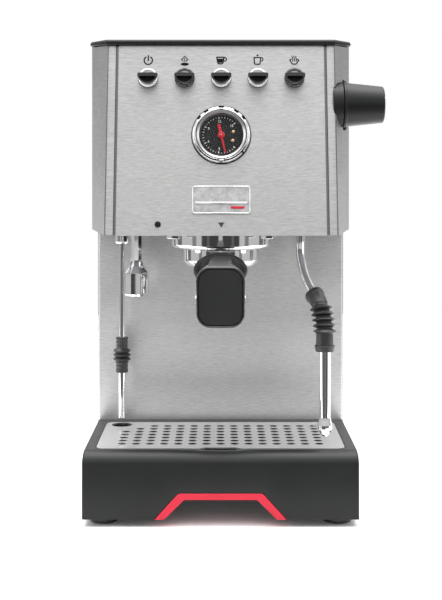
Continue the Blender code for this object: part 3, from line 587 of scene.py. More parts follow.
def make_drip_tray():
    """The basin with its rolled front lip, which dips a little at the middle."""
    rings = [tray_well(103.5, 3, 121.5, level, 1.5) for level in (28, 6)]
    rings += [tray_ring(0.15, 6), tray_ring(0, 6.15), tray_ring(0, 48.9)]
    first, last, steps = 15, 72.4, 10
    rise = 8.7 / (math.sin(math.radians(last)) - math.sin(math.radians(first)))
    for step in range(1, steps + 1):
        tilt = math.radians(first + (last - first) * step / steps)
        inset = rise * (math.cos(math.radians(first)) - math.cos(tilt))
        rings.append(tray_ring(inset, 48.9 + rise * (math.sin(tilt) - math.sin(math.radians(first)))))
    rings += [tray_ring(8.5, 57.0), tray_ring(9.0, 57.0), tray_ring(9.2, TRAY_TOP)]
    rings += [
        tray_well(97.9, 12.6, 113.9, TRAY_TOP, 6),
        tray_well(97.5, 13.0, 113.5, 57.2, 6),
        tray_well(97.5, 13.0, 113.5, 56.1, 6),
        tray_well(93, 17.5, 109, 55.9, 4),
        tray_well(92.6, 18, 108.6, 31, 4),
    ]
    mesh = loft(rings)
    for vert in mesh.verts:
        if vert.co.y < 14 and vert.co.z > 50:
            vert.co.z -= 1.2 * math.exp(-((vert.co.x / 24) ** 2)) * (vert.co.z - 50) / 7.6
    tray = fine("drip_tray", mesh, "black_plastic", "drip_drawer", BODY)
    notch = recess_outline(53.2, 32.7, 4, 26.3, 5)
    carve(tray, prism(notch, -20, 5), FORWARD)
    carve(tray, box(-103.5, 103.5, 115, 130, 0, 8.6), BODY)
    tray.data.set_sharp_from_angle(angle=math.radians(20))


def make_tray_trim():
    outer = recess_outline(50.6, 32.4, 6, 26, 5)
    inner = recess_outline(43.4, 28, 6, 21.1, 3)
    mesh = prism(outer + inner[::-1], -9, 0.4)
    fine("tray_trim", mesh, "red_trim", "drip_drawer", FORWARD, bevel=0.35)


def make_drip_grille():
    """Stamped sheet with round holes on a square grid and a large one under the drain tube."""
    pitch, radius = 11.15, 3.35
    columns, rows, first_row = 15, 7, 30.2
    corners = [(-17, 13.5), (-12, 17), (12, 17), (17, 13.5), (97, 13.5), (97, 113), (-97, 113), (-97, 13.5)]
    outline = filleted(corners, [1, 1.5, 1.5, 1, 6, 6, 6, 6])
    holes = [circle(8.5, 40, DRAIN)]
    for row in range(rows):
        for column in range(max(0, row - (rows - 3)), columns):
            centre = ((column - (columns - 1) / 2) * pitch, first_row + row * pitch)
            holes.append(circle(radius, 24, centre))
    mesh = sheet_with_holes(outline, holes, 56.4, TRAY_TOP)
    fine("drip_grille", mesh, "bright_steel", "drip_drawer", BODY, smooth=30)


# Hood


def make_front_panel():
    """The leaning front sheet, open behind the gauge and under each switch."""
    low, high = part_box("front_panel")
    half = (high.x - low.x) / 2 / MM
    middle = (FACE.inverted() @ Vector(((low.x + high.x) / 2, low.y, low.z))).x / MM
    upright = abs(INWARD.y)
    bottom = (low.z - FACE.translation.z) / upright / MM
    top = (high.z - FACE.translation.z) / upright / MM
    outline = [(middle - half, bottom), (middle + half, bottom), (middle + half, top), (middle - half, top)]
    holes = [circle(GAUGE_HOLE, 64)]
    for number in range(1, 6):
        spot = (FACE.inverted() @ pivot(f"switch_{number}_rock")) / MM
        holes.append(circle(SWITCH_HOLE, 32, (spot.x, spot.y)))
    sheet = sheet_with_holes(outline, holes, -1.0, 0.0)
    lay = BODY.inverted() @ FACE
    lay.translation /= MM
    bmesh.ops.transform(sheet, matrix=lay, verts=sheet.verts)
    fine("front_panel", sheet, "stainless_steel", "housing", BODY, smooth=10)


def make_corner_strips():
    """The folded strip at each front edge: a slightly domed band, then the flat chamfer to the side, with dark
    steel pieces as painted shade in its seam and crease.
    """
    lean = -INWARD.z / INWARD.y
    levels = 24
    bow = math.radians(17)
    radius = 2.9 / math.sin(bow)
    for side, name in ((-1, "left"), (1, "right")):
        rings, seam, crease = [], [], []
        for index in range(levels + 1):
            share = index / levels
            level = HOOD_LOW.z + (HOOD_HIGH.z - HOOD_LOW.z) * share
            front = HOOD_LOW.y + 1.0 + lean * (level - HOOD_LOW.z)
            rise = 2.4 * (1 - share)
            section = [(80.9, front + 3.2), (80.9, front + 2.0), (85.2, front + 2.0), (85.5, front + 1.1)]
            for step in range(9):
                turn = bow * (step / 4 - 1)
                dome = radius * (math.cos(bow) - math.cos(turn))
                section.append((88.6 + radius * math.sin(turn), front + 0.4 + dome))
            section += [(91.9, front + 1.1), (92.5, front + 1.2), (92.9, front + 1.7)]
            ring = [Vector((side * x + SHIFT, y, level)) for x, y in section]
            for x, y in ((HALF_WIDTH, CHAMFER_BACK), (HALF_WIDTH - 1.2, CHAMFER_BACK)):
                ring.append(Vector((side * x, y, level + rise)))
            ring.append(Vector((side * 90.7 + SHIFT, front + 3.2, level)))
            rings.append(ring)
            # The seam and crease pieces are dark steel, painted shade in those grooves.
            groove = ((83.5, 1.0), (85.3, 1.0), (85.3, 2.5), (83.5, 2.5))
            seam.append([Vector((side * x + SHIFT, front + y, level)) for x, y in groove])
            line = ((91.75, 0.9), (92.5, 1.05), (92.5, 1.6), (91.75, 1.6))
            crease.append([Vector((side * x + SHIFT, front + y, level)) for x, y in line])
        node = f"corner_strip_{name}"
        strips = [
            fine(node, loft(rings), "stainless_steel", "housing", BODY, smooth=20),
            piece(f"corner_crease_shade_{name}", loft(crease), "stainless_steel", "housing", BODY, look=SHADOW_STEEL),
        ]
        piece(f"corner_seam_shade_{name}", loft(seam), "stainless_steel", "housing", BODY, look=SHADOW_STEEL)
        if side > 0:
            for strip in strips:
                carve(strip, prism(circle(18.5, 96), -9, 0), KNOB)
                carve(strip, prism(circle(20.9, 96), -0.4, 20), KNOB)
                strip.data.set_sharp_from_angle(angle=math.radians(20))


def make_column_panel():
    """The sheet behind the cup space, bent round to meet the sides, in a lighter copy of the steel that paints
    light onto it under the hood.
    """
    half = HALF_WIDTH - 0.2
    outer = [(-half, 131), (-half, 125.4), (half, 125.4), (half, 131)]
    inner = [(half - 1.0, 131), (half - 1.0, 126.6), (1 - half, 126.6), (1 - half, 131)]
    section = filleted(outer + inner, [0, 1.6, 1.6, 0, 0, 0.8, 0.8, 0])
    fine("column_panel", prism(section, 8.7, 225.0), "stainless_steel", "housing", BODY, look=LIT_COLUMN_STEEL)


def make_top_frame():
    """The black rim, chamfered on top and thinner at its sides than at the front."""
    low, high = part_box("top_frame")
    front = (low.y - ORIGIN.y) / MM
    back = (high.y - ORIGIN.y) / MM
    side = (high.x - ORIGIN.x) / MM
    top = high.z / MM
    radii = [3, 3, 5, 5, 5, 5]

    def ring(inset, level, is_bottom=False):
        x = side - inset
        nose = 93.3 - inset * 0.8
        corners = [(-nose, front + inset), (nose, front + inset), (x, CHAMFER_BACK)]
        corners += [(x, back - inset), (-x, back - inset), (-x, CHAMFER_BACK)]
        points = []
        for u, v in filleted(corners, radii, True, 5):
            share = max(0.0, min(1.0, (v - 58) / 19)) if is_bottom else 0
            points.append(Vector((u, v, level + 1.1 * share)))
        return points

    def hole(level):
        corners = [(-91, 67), (91, 67), (96, 72), (96, 234.5), (-96, 234.5), (-96, 72)]
        return at_level(filleted(corners, [2] * 6, True, 5), level)

    rings = [hole(375.8), ring(0.4, 375.8, True), ring(0, 376.2, True)]
    rings += [ring(0, top - 1.3), ring(0.9, top), hole(top)]
    fine("top_frame", loft(rings, True), "black_plastic", "housing", BODY, smooth=25)


def make_icons():
    """Plain printed symbols over the switches: power, steam, cup, jug and hot water."""
    up = 62.2
    thick = 0.12
    stroke = 1.05
    columns = [FACE.inverted() @ pivot(f"switch_{number}_rock") for number in range(1, 6)]
    centres = [column.x / MM for column in columns]

    def put(name, meshes, x):
        piece(name, moved(merged(meshes), (x, up, 0)), "dark_lens", "housing", FACE, look=INK_AND_SHADE)

    power = [
        ribbon(arc(3.35, 118, 422, 36), stroke, thick),
        ribbon([(0, -0.4), (0, 4.5)], stroke, thick),
    ]
    put("icon_power", power, centres[0])

    base = [Vector((3.3 * p.x, 1.3 * p.y)) for p in circle(1, 28)]
    steam = [moved(prism(base, 0, thick), (0, -3.2, 0))]
    steam.append(ribbon([(-2.9, 0.2), (0, 3.5), (2.9, 0.2)], 0.9, thick))
    for x, top in ((-1.5, 0.6), (0, 2.2), (1.5, 0.6)):
        steam.append(ribbon([(x, -1.3), (x, top)], 0.7, thick))
    put("icon_steam", steam, centres[1])

    bowl = filleted([(-3.7, 2.7), (-2.7, -2.9), (1.3, -2.9), (2.3, 2.7)], [0.2, 1.8, 1.8, 0.2], True, 6)
    fill = filleted([(-2.9, 1.4), (-2.2, -2.0), (0.8, -2.0), (1.5, 1.4)], [0, 0.9, 0.9, 0], True, 6)
    ear = ribbon(arc(1.6, 85, -95, 14, (2.6, 0.9)), 0.9, thick)
    put("icon_cup", [ribbon(bowl, stroke, thick, True), prism(fill, 0, thick), ear], centres[2])

    jug = filleted([(-3.0, 2.4), (-2.6, -3.2), (1.9, -3.2), (2.3, 2.4)], [0.3, 1.0, 1.0, 0.3], True, 6)
    lug = ribbon(arc(1.5, 95, -85, 14, (2.7, 0.9)), 0.9, thick)
    drop = prism(circle(0.8, 14), 0, thick)
    put("icon_jug", [ribbon(jug, 0.95, thick, True), lug, moved(drop, (-0.2, 4.1, 0))], centres[3])

    dish = filleted([(-3.8, 0.5), (-1.6, -3.1), (1.6, -3.1), (3.8, 0.5)], [0, 1.2, 1.2, 0], False)
    hot = [ribbon(dish, 0.95, thick)]
    for side in (-1, 1):
        hot.append(ribbon([(side * 3.9, 0.4), (side * 2.2, 1.0)], 0.85, thick))
    for x in (-1.5, 0, 1.5):
        wave = [(x + 0.3 * math.sin(5.0 * t), -0.9 + 4.6 * t) for t in (0, 0.2, 0.4, 0.6, 0.8, 1)]
        hot.append(ribbon(wave, 0.75, thick))
    put("icon_hot_water", hot, centres[4])

    pointer = prism([(-2.5, -71.2), (0, -75.4), (2.5, -71.2)], 0, thick)
    piece("lock_mark", pointer, "dark_lens", "housing", FACE, look=GREY_PRINT_AND_SHADE)


def make_badge():
    """A plain plate with a raised border, a bar and a red accent in place of any name."""
    low = (FACE.inverted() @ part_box("badge_plate")[0]) / MM
    bottom = round(low.y) + 0.5
    plate = prism(rectangle(-23.5, 23.5, bottom + 1, bottom + 24, 2.5), 0.25, 0.75)
    fine("badge_plate", plate, "chrome", "housing", FACE, look=LOOKS["stainless_steel"], bevel=0.2)
    border = ribbon(rectangle(-22.7, 22.7, bottom + 1.8, bottom + 23.2, 1.8), 0.55, 1.2, True)
    low, high = bottom + 9.2, bottom + 10.6
    bar = prism([(-20, low), (20, low), (21.2, high), (-21.2, high)], 0.7, 1.6)
    piece("badge_border", merged([border, bar]), "chrome", "housing", FACE, bevel=0.2)
    low, high = bottom + 5.2, bottom + 7.2
    accent = prism([(7.5, low), (17.5, low), (19.0, high), (7.5, high)], 0.7, 1.2)
    piece("badge_accent", accent, "red_trim", "housing", FACE, bevel=0.2)


def make_indicator():
    profile = filleted([(0, 1.3), (1.9, 1.2), (2.5, 0.6), (2.5, 0.05)], [0, 0.6, 0.4, 0], False)
    lens = moved(turned(profile, 32), (-50.2, -72.7, 0))
    fine("indicator_lens", lens, "dark_lens", "housing", FACE)


# Gauge


def clock(angle, radius):
    """A point at an angle in degrees clockwise from twelve."""
    turn = math.radians(angle)
    return Vector((radius * math.sin(turn), radius * math.cos(turn)))


def radial_block(angle, inner, outer, width, bottom, top):
    block = box(-width / 2, width / 2, inner, outer, bottom, top)
    return moved(block, turn=Matrix.Rotation(-math.radians(angle), 3, "Z"))


def make_gauge_bezel():
    """A polished ring, a step inside it in a darker steel and a wall in a darker steel still, both as painted
    shade, with near-black lines of painted shade in the joints and notches between them.
    """
    outer = [(20.4, 0.1), (23.4, 0.1), (23.4, 1.7), (22.5, 3.3), (20.9, 4.0), (20.4, 3.4)]
    ring = lathe(outer, [0, 0.1, 0.7, 1.0, 0.3, 0.1], 128, True)
    fine("gauge_bezel", ring, "chrome", "housing", FACE, smooth=50)
    step = [(17.6, -0.4), (19.9, -0.4), (19.9, 3.0), (19.5, 3.3), (17.9, 2.2), (17.6, 1.7)]
    ring = lathe(step, [0, 0, 0.1, 0.2, 0.2, 0.1], 128, True)
    piece("gauge_bezel_step", ring, "chrome", "housing", FACE, look=SHADE)
    # The wall is dark steel, painted shade.
    wall = [(16.05, -1.1), (17.3, -1.1), (17.3, 1.5), (16.9, 1.2)]
    piece("gauge_bezel_wall", turned(wall, 128, True), "chrome", "housing", FACE, look=SHADOW_STEEL)
    # Near-black rings and blocks in the joints, notches and scores: painted shade.
    joints = [
        turned([(19.8, 0), (20.5, 0), (20.5, 2.9), (19.8, 2.9)], 96, True),
        turned([(17.2, -0.9), (17.7, -0.9), (17.7, 1.6), (17.2, 1.6)], 96, True),
        turned([(23.2, 0.02), (24.1, 0.02), (24.0, 1.0), (23.2, 1.3)], 96, True),
    ]
    notch = [(21.5, 2.6), (23.42, 1.4), (23.47, 2.2), (22.7, 3.42), (21.5, 3.98)]
    for angle, half in ((0, 6.0), (-32.6, 5.6), (32.6, 5.6), (-52.4, 4.6), (52.4, 4.6)):
        joints.append(sector(notch, angle, half))
    score = [(20.5, 3.0), (22.6, 2.6), (22.5, 3.42), (21.4, 3.90), (20.6, 3.95)]
    joints += [sector(score, 229, 0.9, 2), sector(notch, 131, 1.8, 2)]
    lower = [(21.5, 3.2), (22.2, 3.0), (22.25, 3.66), (21.5, 3.98)]
    joints += [sector(lower, 163, 8), sector(lower, 197, 8)]
    joints += [sector(score, 173, 0.8, 2), sector(score, 187, 0.8, 2)]
    piece("gauge_bezel_shade_lines", merged(joints), "dark_lens", "housing", FACE, look=INK_AND_SHADE)


def make_gauge_dial():
    """The scale runs clockwise from 0 at the lower right to 15, with a tick each half unit."""
    dial = lathe([(0, -1.25), (18.2, -1.25), (18.2, -2.0), (0, -2.0)], [0] * 4, 96)
    fine("gauge_dial", dial, "dial_black", "housing", FACE)
    zero, step = 133.5, 18.27
    ticks = []
    for half in range(31):
        angle = zero + step * half / 2
        is_major = half % 6 == 0
        is_whole = half % 2 == 0
        inner = 13.5 if is_major else (14.0 if is_whole else 14.3)
        width = 0.85 if is_major else (0.6 if is_whole else 0.45)
        ticks.append(radial_block(angle, inner, 15.2, width, -1.3, -1.12))
    piece("dial_ticks", merged(ticks), "dial_black", "housing", FACE, look=PRINT)
    numerals = []
    for value in (3, 6, 9, 12, 15):
        text = bpy.data.curves.new("numeral", "FONT")
        text.body = str(value)
        text.size = 2.9
        text.align_x = "CENTER"
        text.align_y = "CENTER"
        text.offset = 0.05
        text.extrude = 0.06
        holder = bpy.data.objects.new("numeral", text)
        bpy.context.collection.objects.link(holder)
        bpy.context.view_layer.update()
        shape = bpy.data.meshes.new_from_object(holder.evaluated_get(bpy.context.evaluated_depsgraph_get()))
        mesh = bmesh.new()
        mesh.from_mesh(shape)
        numerals.append(moved(mesh, (*clock(zero + step * value, 11.4), -1.15)))
        bpy.data.objects.remove(holder)
        bpy.data.meshes.remove(shape)
    piece("dial_numerals", merged(numerals), "dial_black", "housing", FACE, look=PRINT)
    screws = []
    for x, y in ((9.7, 2.75), (9.3, -4.6)):
        head = lathe([(0, 0.9), (1.2, 0.7), (1.55, 0.1), (1.55, -0.3)], [0, 0.5, 0.3, 0], 32)
        slot = moved(box(-1.3, 1.3, -0.16, 0.16, 0.72, 0.92), turn=Matrix.Rotation(0.4, 3, "Z"))
        screws.append(moved(merged([head, slot]), (x, y, -1.0)))
    piece("dial_screws", merged(screws), "brass", "housing", FACE)


def make_gauge_needle():
    """Tapered pointer with a wide tail and a domed hub."""
    rest = 167.3
    right = [(0.5, 15.2), (0.95, 0), (1.25, -9.0), (0.9, -9.3)]
    left = [(-x, y) for x, y in right[::-1]]
    outline = left[-1:] + right + left[:-1]
    blade = prism(filleted(outline, [0.4, 0.4, 0, 0.3, 0.3, 0.3, 0.3, 0]), -0.55, -0.1)
    hub = lathe([(0, 0.75), (1.2, 0.7), (2.8, 0.3), (2.8, -0.6)], [0, 0.8, 0.4, 0], 40)
    mesh = moved(merged([blade, hub]), turn=Matrix.Rotation(-math.radians(rest), 3, "Z"))
    fine("gauge_needle", mesh, "needle_red", "needle", FACE)
    pin = lathe([(0, 1.0), (0.5, 0.9), (0.6, 0.6)], [0, 0.2, 0], 20)
    piece("needle_pin", pin, "chrome", "needle", FACE)


def make_gauge_glass():
    glass = lathe([(0, 2.0), (16.9, 1.7), (16.9, 1.2), (0, 1.2)], [0, 0.1, 0.1, 0], 64)
    fine("gauge_glass", glass, "gauge_glass", "housing", FACE)


# Switches


def lever_ring(out, half_width, top, widest, bottom):
    """A ring flat along its top edge and rounded to a V below its widest line."""
    ring = []
    steps = 40
    for step in range(steps):
        angle = 2 * math.pi * step / steps
        across, lift = math.cos(angle), math.sin(angle)
        if lift >= 0:
            x = math.copysign(abs(across) ** 0.35, across)
            y = widest + (top - widest) * lift**0.35
        else:
            x = math.copysign(abs(across) ** 1.15, across)
            y = widest + (widest - bottom) * -(abs(lift) ** 1.15)
        ring.append(Vector((half_width * x, y, out)))
    return ring


def make_switches():
    """A round bezel and a flared lever with a scooped face for each of the five switches."""
    sections = [
        (-3.0, 3.4, -1.6, -2.2, -3.2),
        (2.2, 4.4, -0.6, -1.8, -4.0),
        (4.0, 5.6, 0.1, -1.3, -5.0),
        (6.4, 7.3, 0.9, -0.8, -6.3),
        (8.4, 8.1, 1.9, -0.4, -7.2),
        (9.2, 8.2, 2.05, -0.4, -7.4),
        (9.6, 8.0, 1.85, -0.5, -7.1),
        (9.65, 6.6, -1.0, -1.4, -6.1),
        (9.2, 6.3, -1.1, -1.6, -5.9),
        (5.0, 5.2, -1.4, -2.0, -4.8),
    ]
    scoop = [(5.05, 5.3, -1.35, -1.95, -4.9), (7.6, 5.95, -1.2, -1.75, -5.5)]
    for number in range(1, 6):
        place = FACE.copy()
        place.translation = pivot(f"switch_{number}_rock")
        is_dark = number in (2, 5)
        rim = filleted([(5.9, 0.1), (7.9, 0.1), (7.9, 1.2), (6.9, 2.4), (5.9, 2.2)], [0, 0, 0.7, 0.7, 0.3])
        slot = "smoke_plastic" if is_dark else "chrome"
        node = f"switch_bezel_{number}"
        # The light bezels are chrome drawn near-white, painted reflection.
        fine(node, turned(rim, 64, True), slot, "housing", place, look=None if is_dark else REFLECTION_WHITE)
        # A dark grey ring round each bezel's edge: painted shade.
        edge = turned([(7.7, 0.02), (8.15, 0.02), (8.15, 0.7), (7.7, 0.9)], 64, True)
        piece(f"switch_edge_shade_{number}", edge, "dark_lens", "housing", place, look=GREY_PRINT_AND_SHADE)
        # The well under each lever is chrome drawn near-white too, painted reflection.
        well = turned([(0, 0.9), (5.95, 0.9), (5.95, 0.1), (0, 0.1)], 48)
        piece(f"switch_well_{number}", well, "chrome", "housing", place, look=REFLECTION_WHITE)
        lever = f"switch_lever_{number}"
        body = f"switch_{number}"
        mesh = loft([lever_ring(*section) for section in sections])
        fine(lever, mesh, "gloss_black_plastic", body, place, smooth=40)
        # The scoop is near-black: painted shade in the recess.
        face = loft([lever_ring(*section) for section in scoop])
        piece(f"switch_scoop_{number}", face, "dark_lens", body, place, look=INK_AND_SHADE)


# Steam knob


def make_knob():
    corners = [(3.6, -9.2), (17.7, -9.2), (17.9, -0.9), (17.5, -0.4), (3.6, -0.4)]
    boss = lathe(corners, [0, 0.3, 0.3, 0.3, 0], 96, True)
    fine("knob_boss", boss, "black_plastic", "housing", KNOB)
    corners = [(0, 0), (18.7, 0), (18.7, 1.6), (18.0, 2.0), (14.9, 32.2), (13.4, 33.0), (0, 33.6)]
    knob = lathe(corners, [0, 0.3, 0.3, 0.3, 1.2, 1.0, 0], 96, False, 8)
    fine("steam_knob", knob, "black_plastic", "knob", KNOB)
    mark = moved(box(-0.5, 0.5, 12.5, 14.6, 32.6, 33.2), turn=Matrix.Rotation(math.radians(70), 3, "Z"))
    piece("knob_mark", mark, "dial_black", "knob", KNOB, look=PRINT, bevel=0.1)


# Steam wand


def wand_route():
    """The tube's centreline, from the wand's own axis."""
    x, y = 66.4, 80.0
    route = [
        (x, y, 236),
        (x, y, 212),
        (66.7, 76.6, 200),
        (68.6, 67.6, 188.6),
        (72.4, 57.5, 179),
        (75.4, 51.7, 174.2),
        (79.3, 42.0, 166.4),
        (81.3, 34.5, 159.2),
        (82.2, 28.5, 150),
        (82.2, 26.8, 144),
        (82.2, 26.8, 131.2),
        (82.2, 26.8, 79.0),
    ]
    return [Vector(point) - Vector((x, y, 0)) for point in route]


def point_at(path, lengths, distance):
    """The point that lies a distance along a path."""
    for index in range(1, len(path)):
        if distance <= lengths[index] or index == len(path) - 1:
            share = (distance - lengths[index - 1]) / (lengths[index] - lengths[index - 1])
            return path[index - 1].lerp(path[index], min(1.0, share))
    return path[-1]


def between(table, value):
    """A radius read from a list of (place, radius) points, in a straight line between them."""
    for (low, first), (high, second) in zip(table, table[1:]):
        if value <= high:
            share = max(0.0, (value - low) / (high - low))
            return first + (second - first) * share
    return table[-1][1]


def sleeve_level(point):
    """How far a fold of the sleeve is turned from its line's slope towards level."""
    return 0.55 * max(0.0, min(1.0, (173 - point.z) / 9))


def make_wand():
    """A chromed tube, a moulded sleeve with five bellows, and the tip."""
    per_span = 16
    path = smooth_path(wand_route(), per_span)
    first, last = 5 * per_span, 10 * per_span
    radii = [3.65 if index < first + 8 else 4.3 for index in range(len(path))]
    tube = loft(rings_along(path, radii, 36))
    fine("steam_wand", tube, "chrome", "wand", WAND, smooth=60)

    stretch = path[first : last + 1]
    lengths = [0.0]
    for before, after in zip(stretch, stretch[1:]):
        lengths.append(lengths[-1] + (after - before).length)
    shape = [(131.2, 7.2), (131.5, 7.4), (135.4, 8.0), (136.0, 7.9), (136.4, 6.9), (144.4, 6.8), (145.4, 6.9)]
    for level in (146.8, 151.0, 155.2, 159.2, 163.1):
        fold = ((-0.4, 8.9), (0, 9.4), (0.5, 8.9), (2.0, 5.9), (2.5, 5.9))
        shape += [(level + rise, radius) for rise, radius in fold]
    shape += [(166.6, 6.7), (171.6, 7.3), (172.0, 7.8), (173.8, 7.7), (174.2, 7.0)]
    count = 300
    samples, sample_radii = [], []
    for step in range(count + 1):
        point = point_at(stretch, lengths, step / count * lengths[-1])
        samples.append(point)
        sample_radii.append(between(shape, point.z))
    rings = rings_along(samples, sample_radii, 48, sleeve_level)
    bore = rings_along(samples[:2], [4.4, 4.4], 48, sleeve_level)
    sleeve = loft([bore[0]] + rings)
    fine("wand_sleeve", sleeve, "rubber", "wand", WAND, smooth=40)

    tip = [(0, 64.3), (2.0, 64.4), (3.9, 66.2), (5.6, 69.6), (5.7, 73.0), (4.7, 77.4), (4.4, 79.2), (0, 79.2)]
    nozzle = lathe(tip, [0, 0.6, 0.8, 1.2, 2.0, 2.0, 0, 0], 12, False, 5)
    foot = path[-1]
    fine("wand_nozzle", moved(nozzle, (foot.x, foot.y, 0)), "chrome", "wand", WAND, smooth=28)


# Left pipes


def make_drain_tube():
    place = BODY @ Matrix.Translation((DRAIN[0] * MM, DRAIN[1] * MM, 0))
    outside = [(0, 236), (3.0, 236), (3.0, 213), (2.35, 212), (2.35, 131), (2.7, 102), (2.7, 63.5)]
    mouth = [(2.1, 63.5), (2.1, 70), (0, 70)]
    pipe = lathe(outside + mouth, [0, 0, 0.5, 0.3, 0, 0, 0.3, 0, 0, 0], 36)
    hexagon = filleted(circle(6.2, 6, start=-math.pi / 2), [0.5] * 6, True, 3)
    small = [point * 0.86 for point in hexagon]
    nut = loft([at_level(small, 211.8), at_level(hexagon, 213.2), at_level(hexagon, 222)])
    fine("drain_tube", merged([pipe, nut]), "chrome", "housing", place, smooth=28)
    profile = [(2.9, 132.1), (5.1, 132.1), (5.2, 130.6), (4.7, 129.4)]
    profile += [(5.1, 127.8), (4.6, 126.4), (4.9, 124.8), (4.6, 123.2)]
    for level in (121.2, 117.6, 114.0):
        profile += [(7.2, level), (7.4, level - 0.5), (7.2, level - 1.0), (5.2, level - 2.3)]
    profile += [(5.6, 110.6), (4.8, 109.2), (5.3, 107.6), (4.7, 106.0)]
    profile += [(5.2, 104.6), (5.2, 102.3), (2.9, 102.3)]
    sleeve = lathe(profile, [0.2] * len(profile), 48, True, 3)
    fine("drain_sleeve", sleeve, "rubber", "housing", place)


def make_relief_nozzle():
    """A pipe that flares into an eight-sided body with chamfered ends."""
    place = BODY @ Matrix.Translation((-70.5 * MM, 90 * MM, 0))
    sides = 8
    corners = circle(10.6, sides, start=math.pi / sides)
    rings = []
    for share, level in ((0.90, 168.9), (1.0, 170.3), (1.0, 187.6), (0.92, 188.8)):
        outline = filleted([corner * share for corner in corners], [0.8] * sides, True, 4)
        rings.append(at_level(outline, level))
    last = rings[-1]
    for radius, level in ((7.6, 191.0), (5.9, 194.4), (5.0, 198.2), (4.6, 199.4), (4.6, 236)):
        ring = []
        for point in last:
            spot = Vector((point.x, point.y)).normalized() * radius
            ring.append(Vector((spot.x, spot.y, level)))
        rings.append(ring)
    fine("relief_nozzle", loft(rings), "chrome", "housing", place, smooth=20)


# Group and portafilter


def make_group():
    corners = [(33.0, 209.8), (41.5, 209.8), (41.5, 240), (4, 240), (4, 222), (33.0, 222)]
    head = lathe(corners, [0.4, 3.6, 0.5, 0, 0, 0.5], 128, True, 8)
    fine("group_head", head, "chrome", "housing", GROUP)
    bolts = []
    for x in (-37.5, 37.5):
        for y in (-38, 38):
            washer = lathe([(0, 225.2), (7.0, 225.2), (7.0, 223.4), (0, 223.4)], [0, 0.3, 0.3, 0], 40)
            bolts.append(moved(washer, (x, y, 0)))
            bolts.append(moved(prism(circle(5.6, 6, start=0.3), 219.0, 223.4), (x, y, 0)))
    piece("group_bolts", merged(bolts), "chrome", "housing", GROUP, bevel=0.4)


def make_portafilter():
    outside = [(5.0, 186.5), (12.0, 186.5), (12.0, 192.5), (28.5, 195.2), (31.8, 199.0), (31.8, 209.2)]
    inside = [(30.5, 209.2), (30.5, 213.0), (28.8, 213.0), (28.8, 199.2), (24.0, 197.5), (5.0, 196.2)]
    radii = [0, 0.8, 1.5, 3.0, 3.0, 0.5, 0.3, 0.3, 0.3, 0.5, 0.5, 0]
    cup = lathe(outside + inside, radii, 112, True)
    lugs = []
    for turn in (math.pi / 2, -math.pi / 2):
        lug = prism(rectangle(-9, 9, 29.8, 32.6, 0.8), 209.9, 212.6)
        lugs.append(moved(lug, turn=Matrix.Rotation(turn, 3, "Z")))
    fine("portafilter_cup", cup, "chrome", "portafilter", GROUP)
    piece("portafilter_lugs", merged(lugs), "chrome", "portafilter", GROUP, bevel=0.3)
    outside = [(0, 198.3), (24, 198.3), (27.2, 200.2), (28.4, 213.3), (30.4, 213.4), (30.4, 214.1)]
    inside = [(27.6, 214.1), (26.5, 201), (23.6, 199.1), (0, 199.1)]
    basket = lathe(outside + inside, [0, 1.5, 1.5, 0.2, 0.2, 0.2, 0.3, 1.5, 1.5, 0], 80)
    fine("filter_basket", basket, "bright_steel", "portafilter", GROUP)


def make_spout():
    """Two open outlets on one arched pipe, under a hexagonal union nut."""
    side = [(10.0, 0, 177.0), (17.0, 0, 170.0), (18.2, 0, 163.2)]
    route = [(-x, y, z) for x, y, z in side[::-1]] + [(0, 0, 179.3)] + side
    arch = smooth_path(route, 10)
    outer = rings_along(arch, [4.7] * len(arch), 32)
    bore = rings_along(arch, [3.7] * len(arch), 32)
    pipe = loft([bore[4], bore[0]] + outer + [bore[-1], bore[-5]])
    corners = [(0, 177), (8.6, 177), (8.6, 180.4), (7.4, 181), (7.4, 186.3), (0, 186.3)]
    hub = lathe(corners, [0, 0.8, 0.4, 0.3, 0.3, 0], 48)
    nut = prism(filleted(circle(9.6, 6), [0.8] * 6, True, 3), 181.6, 185.8)
    fine("double_spout", merged([pipe, hub, nut]), "chrome", "portafilter", GROUP)


def handle_ring(along, half_width, half_height, power, steps=56):
    ring = []
    for step in range(steps):
        angle = 2 * math.pi * (step + 0.5) / steps
        u = math.copysign(abs(math.cos(angle)) ** power, math.cos(angle))
        v = math.copysign(abs(math.sin(angle)) ** power, math.sin(angle))
        ring.append(Vector((half_width * u, along, half_height * v)))
    return ring


def blended_rings(sections, per_span):
    """Handle sections with eased ones added between them."""
    rings = []
    for first, second in zip(sections, sections[1:]):
        for step in range(per_span):
            share = step / per_span
            ease = share * share * (3 - 2 * share)
            size = [a + (b - a) * ease for a, b in zip(first[1:], second[1:])]
            rings.append(handle_ring(first[0] + (second[0] - first[0]) * share, *size))
    rings.append(handle_ring(*sections[-1]))
    return rings


def cap_ring(inset, along):
    """The end cap's outline at a distance in from its edge."""
    half_width, half_height, corner = 17.5 - inset, 22.4 - inset, max(10.6 - inset, 2)
    outline = rectangle(-half_width, half_width, -half_height, half_height, corner, 10, 4)
    return [Vector((x, along, z)) for x, z in outline]


